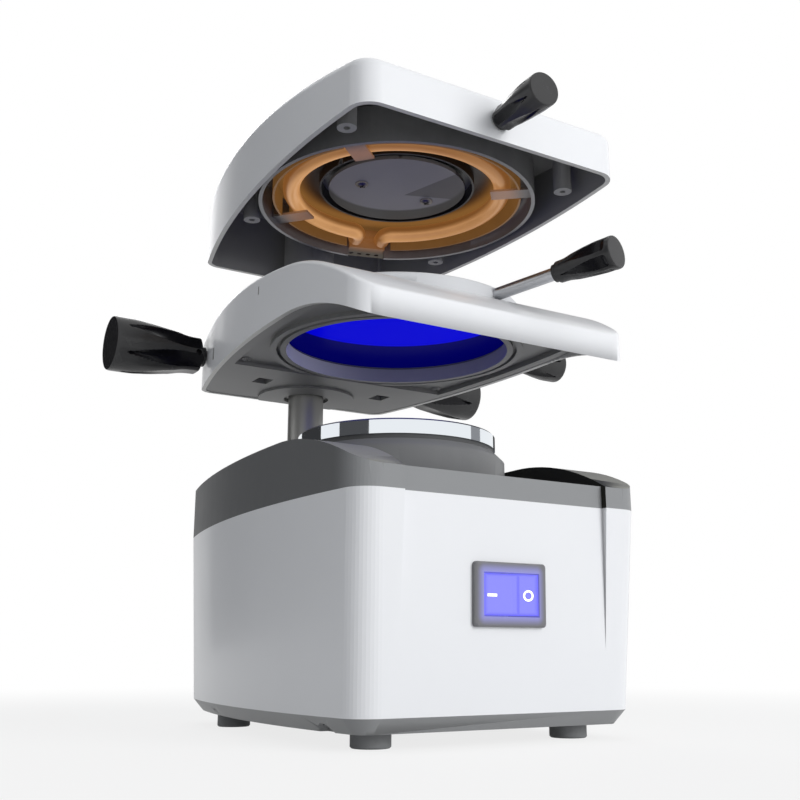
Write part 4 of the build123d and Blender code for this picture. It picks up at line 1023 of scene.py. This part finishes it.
class FORMER_OT_screws(bpy.types.Operator):
    """Makes the visible screw heads."""

    bl_idname = "former.screws"
    bl_label = "Screws"

    def execute(self, context):
        tree = screw_tree()
        for node, radius, height, body, finish in (
            ("disc_screws", 3.6, 1.6, "head", "dull"),
            ("plate_screws", 2.9, 1.4, "holder", "plate"),
        ):
            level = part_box(node)[0].z + height * MM
            mesh = bpy.data.meshes.new(node)
            mesh.from_pydata([(x, y, level) for x, y in heads_of(node)], [], [])
            made = tree.build(
                node + "_cross", mesh, finishes[finish], 30.0,
                Radius=radius * MM, Height=height * MM, Recess=height * 0.8 * MM,
            )
            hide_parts(node)
            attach(made, body)
        return {"FINISHED"}


def heads_of(node):
    """Middle of each separate solid of a node, as (x, y)."""
    work = bmesh.new()
    work.from_mesh(frame["nodes"][node].data)
    bmesh.ops.remove_doubles(work, verts=work.verts, dist=WELD)
    seen, spots = set(), []
    for start in work.verts:
        if start in seen:
            continue
        pile, group = [start], []
        seen.add(start)
        while pile:
            vert = pile.pop()
            group.append(vert.co.copy())
            for edge in vert.link_edges:
                other = edge.other_vert(vert)
                if other not in seen:
                    seen.add(other)
                    pile.append(other)
        spots.append([(min(row) + max(row)) / 2 for row in list(zip(*group))[:2]])
    work.free()
    return spots


class FORMER_OT_switch(bpy.types.Operator):
    """Dresses the switch and draws its two marks."""

    bl_idname = "former.switch"
    bl_label = "Switch"

    def execute(self, context):
        dressed("switch_bezel", [finishes["bezel"]])
        dressed("switch_rocker", [finishes["rocker"]])
        at, reach = middle("switch_rocker"), half("switch_rocker").x
        level = at.z - 0.4 * MM
        work = bmesh.new()
        bar_mark(work, at.x - reach * 0.66, level, 2.4 * MM, 0.56 * MM)
        ring_mark(work, at.x + reach * 0.64, level, 2.3 * MM, 1.5 * MM)
        lay_on(work, "switch_rocker", 0.06 * MM)
        mesh = bpy.data.meshes.new("switch_marks")
        work.to_mesh(mesh)
        work.free()
        mesh.materials.append(finishes["mark"])
        made = add_object("switch_marks", mesh)
        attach(made, "rocker")
        return {"FINISHED"}


def bar_mark(work, x, z, reach, rise):
    """A small flat bar of quads, front face towards -Y."""
    rows = [
        [work.verts.new((across, 0.0, level)) for level in (z - rise, z + rise)]
        for across in np.linspace(x - reach, x + reach, 13)
    ]
    for low, high in zip(rows, rows[1:]):
        work.faces.new((low[0], high[0], high[1], low[1]))


def ring_mark(work, x, z, outer, inner):
    """A small flat ring of quads, front face towards -Y."""
    rows = [
        [
            work.verts.new((x + radius * math.cos(turn), 0.0, z + radius * math.sin(turn)))
            for radius in (inner, outer)
        ]
        for turn in np.linspace(0.0, 2 * math.pi, 48, endpoint=False)
    ]
    for low, high in zip(rows, rows[1:] + rows[:1]):
        work.faces.new((low[0], low[1], high[1], high[0]))


def lay_on(work, node, thickness):
    """Lays flat faces on a CAD node, seen from the front, and gives them a thickness."""
    tree = surface(node)
    for vert in work.verts:
        hit = tree.ray_cast(Vector((vert.co.x, -1.0, vert.co.z)), Vector((0.0, 1.0, 0.0)))
        if hit[0] is None:
            raise ValueError("a mark misses the rocker")
        vert.co.y = hit[0].y - thickness
    lifted = bmesh.ops.extrude_face_region(work, geom=work.faces[:])
    for item in lifted["geom"]:
        if isinstance(item, bmesh.types.BMVert):
            item.co.y += thickness + 0.03 * MM
    bmesh.ops.recalc_face_normals(work, faces=work.faces)


class FORMER_OT_fittings(bpy.types.Operator):
    """Gives every remaining CAD node its finish."""

    bl_idname = "former.fittings"
    bl_label = "Fittings"

    def execute(self, context):
        for node, finish in dict(
            column_tube="column", column_collar="cap", rubber_feet="rubber", platform_gasket="gasket",
            forming_plate="perforated", suction_cup="aluminium", lever_rod="steel", grip_studs="steel",
            lock_screw="steel", column_bush="socket", power_inlet="socket", forming_sheet="sheet",
            sheet_seal="silicone",
        ).items():
            dressed(node, [finishes[finish]])
        dressed(
            "platform_ring", [finishes["chrome"], finishes["lip"]], lambda face: int(face.normal.z > 0.15),
        )
        for node, finish in dict(
            foot_screws="steel", case_screws="steel", fan_drum="aluminium", motor_housing="steel",
            motor_stator="iron", carbon_brushes="carbon", shaft_bearings="shaft",
            motor_cushion="black_rubber", inlet_seal="black_rubber", switch_tabs="brass",
            inlet_pins="brass", inlet_screws="steel",
            column_socket="aluminium", thrust_washer="nylon", heater_cable="sleeve", impeller="aluminium",
            armature="iron", motor_shaft="shaft", drag_pad="nylon", drag_screw="steel",
        ).items():
            paint(node, finishes[finish])
        return {"FINISHED"}


class FORMER_OT_stage(bpy.types.Operator):
    """Makes the floor, the backdrop light, the lamps and the camera."""

    bl_idname = "former.stage"
    bl_label = "Stage"

    def execute(self, context):
        make_world()
        make_floor()
        make_lamps()
        make_camera()
        return {"FINISHED"}


def shown(work):
    """1 for rays that show the backdrop: from the camera, a mirror or through glass."""
    path = work.node("ShaderNodeLightPath").socket.node.outputs
    camera, glossy, through = (
        Value(work, path[name]) for name in ("Is Camera Ray", "Is Glossy Ray", "Is Transmission Ray")
    )
    return work.largest(camera, work.largest(glossy, through))


def bare_tree(data):
    """The emptied node tree of a world or a material."""
    data.use_nodes = True
    data.node_tree.nodes.clear()
    return Nodes(data.node_tree)


def make_world():
    """White to the eye, and a soft dimmer light on the object."""
    world = bpy.data.worlds.new("studio")
    work = bare_tree(world)
    plain = work.node("ShaderNodeBackground", {"Color": (0.95, 0.97, 1.0, 1.0), "Strength": 0.44})
    white = work.node("ShaderNodeBackground", {"Color": (1.0, 1.0, 1.0, 1.0), "Strength": 1.0})
    mixed = work.node("ShaderNodeMixShader", {0: shown(work), 1: plain, 2: white})
    work.node("ShaderNodeOutputWorld", {0: mixed})
    bpy.context.scene.world = world


FLOOR_EDGE = 12.0


def make_floor():
    """A pale floor that keeps the object's shadow near it and turns white farther out."""
    mesh = bpy.data.meshes.new("floor")
    corners = ((-1, -1), (1, -1), (1, 1), (-1, 1))
    mesh.from_pydata([(FLOOR_EDGE * x, FLOOR_EDGE * y, 0.0) for x, y in corners], [], [(0, 1, 2, 3)])
    floor = add_object("floor", mesh)
    material = bpy.data.materials.new("floor_white")
    work = bare_tree(material)
    lit = work.node("ShaderNodeBsdfDiffuse", {"Color": (0.72, 0.72, 0.72, 1.0)})
    glow = work.node("ShaderNodeEmission", {"Color": (1.0, 1.0, 1.0, 1.0), "Strength": 1.0})
    away = work.length(*work.split(work.node("ShaderNodeTexCoord", out=3), "xy"))
    plain = 0.80 + 0.20 * work.ease(away, 0.20, 0.75)
    mixed = work.node("ShaderNodeMixShader", {0: shown(work) * plain, 1: lit, 2: glow})
    work.node("ShaderNodeOutputMaterial", {0: mixed})
    mesh.materials.append(material)


def lamp(name, place, target, width, watts, mirrored=True):
    """A square lamp that faces a target."""
    data = bpy.data.lights.new(name, "AREA")
    data.size = width
    data.energy = watts
    made = add_object(name, data)
    made.location = place
    aim = Vector(target) - Vector(place)
    made.rotation_euler = aim.to_track_quat("-Z", "Y").to_euler()
    made.visible_glossy = mirrored


CARD_DISTANCE = 1.7
CARD_LEVELS = (-0.4, 1.6)


def card(name, azimuth, width, glow):
    """An upright card, seen only in mirrors, that faces the object."""
    mesh = bpy.data.meshes.new(name)
    (low, high), side = CARD_LEVELS, width / 2
    corners = [(-side, low), (side, low), (side, high), (-side, high)]
    mesh.from_pydata([(CARD_DISTANCE, y, z) for y, z in corners], [], [(0, 1, 2, 3)])
    mesh.transform(Matrix.Rotation(math.radians(azimuth), 4, "Z"))
    made = add_object(name, mesh)
    material = bpy.data.materials.new(name)
    work = bare_tree(material)
    lit = work.node("ShaderNodeEmission", {"Color": (glow, glow, glow * 1.04, 1.0), "Strength": 1.0})
    work.node("ShaderNodeOutputMaterial", {0: lit})
    mesh.materials.append(material)
    for kind in ("camera", "diffuse", "shadow", "transmission"):
        setattr(made, "visible_" + kind, False)


def make_lamps():
    """Three soft lamps, and cards that give the chrome and the handles something to mirror."""
    target = (0.0, 0.0, 0.16)
    lamp("key", (1.0, -2.1, 1.5), target, 1.4, 21.0, False)
    lamp("front_fill", (0.7, -2.2, 0.45), target, 1.2, 25.0, False)
    lamp("back", (0.6, 2.0, 1.5), target, 1.2, 12.0)
    card("card_back_left", 120.0, 1.50, 0.04)
    card("card_left", 190.0, 1.12, 0.08)
    card("card_front_right", -19.0, 0.52, 0.30)
    card("card_back_right", 48.0, 1.10, 0.04)


def make_camera():
    """The photo's viewpoint."""
    data = bpy.data.cameras.new("camera")
    data.sensor_width = 36.0
    data.lens = 45.41
    data.clip_start = 0.01
    camera = add_object("camera", data)
    camera.location = (-0.26025, -0.43338, 0.03706)
    camera.rotation_euler = [math.radians(angle) for angle in (104.025, 0.0, -31.187)]
    bpy.context.scene.camera = camera
    bpy.context.scene.view_settings.view_transform = "Standard"


class FORMER_PT_panel(bpy.types.Panel):
    """Lists the vacuum former's settings and operators."""

    bl_label = "Vacuum former"
    bl_idname = "FORMER_PT_panel"
    bl_space_type = "VIEW_3D"
    bl_region_type = "UI"
    bl_category = "Vacuum former"

    def draw(self, context):
        for group in (context.scene.former_look, context.scene.former_sizes):
            for key in group.__annotations__:
                self.layout.prop(group, key)
        for operator in OPERATORS:
            self.layout.operator(operator.bl_idname)


OPERATORS = (
    FORMER_OT_finishes,
    FORMER_OT_casings,
    FORMER_OT_handles,
    FORMER_OT_heater,
    FORMER_OT_screws,
    FORMER_OT_switch,
    FORMER_OT_fittings,
    FORMER_OT_stage,
)
CLASSES = (FORMER_look, FORMER_sizes, *OPERATORS, FORMER_PT_panel)


def register():
    for entry in CLASSES:
        bpy.utils.register_class(entry)
    bpy.types.Scene.former_look = PointerProperty(type=FORMER_look)
    bpy.types.Scene.former_sizes = PointerProperty(type=FORMER_sizes)


def unregister():
    del bpy.types.Scene.former_sizes
    del bpy.types.Scene.former_look
    for entry in reversed(CLASSES):
        bpy.utils.unregister_class(entry)


def main():
    register()
    bpy.ops.former.finishes()
    bpy.ops.former.casings()
    bpy.ops.former.handles()
    bpy.ops.former.heater()
    bpy.ops.former.screws()
    bpy.ops.former.switch()
    bpy.ops.former.fittings()
    bpy.ops.former.stage()


if __name__ == "__main__":
    main()
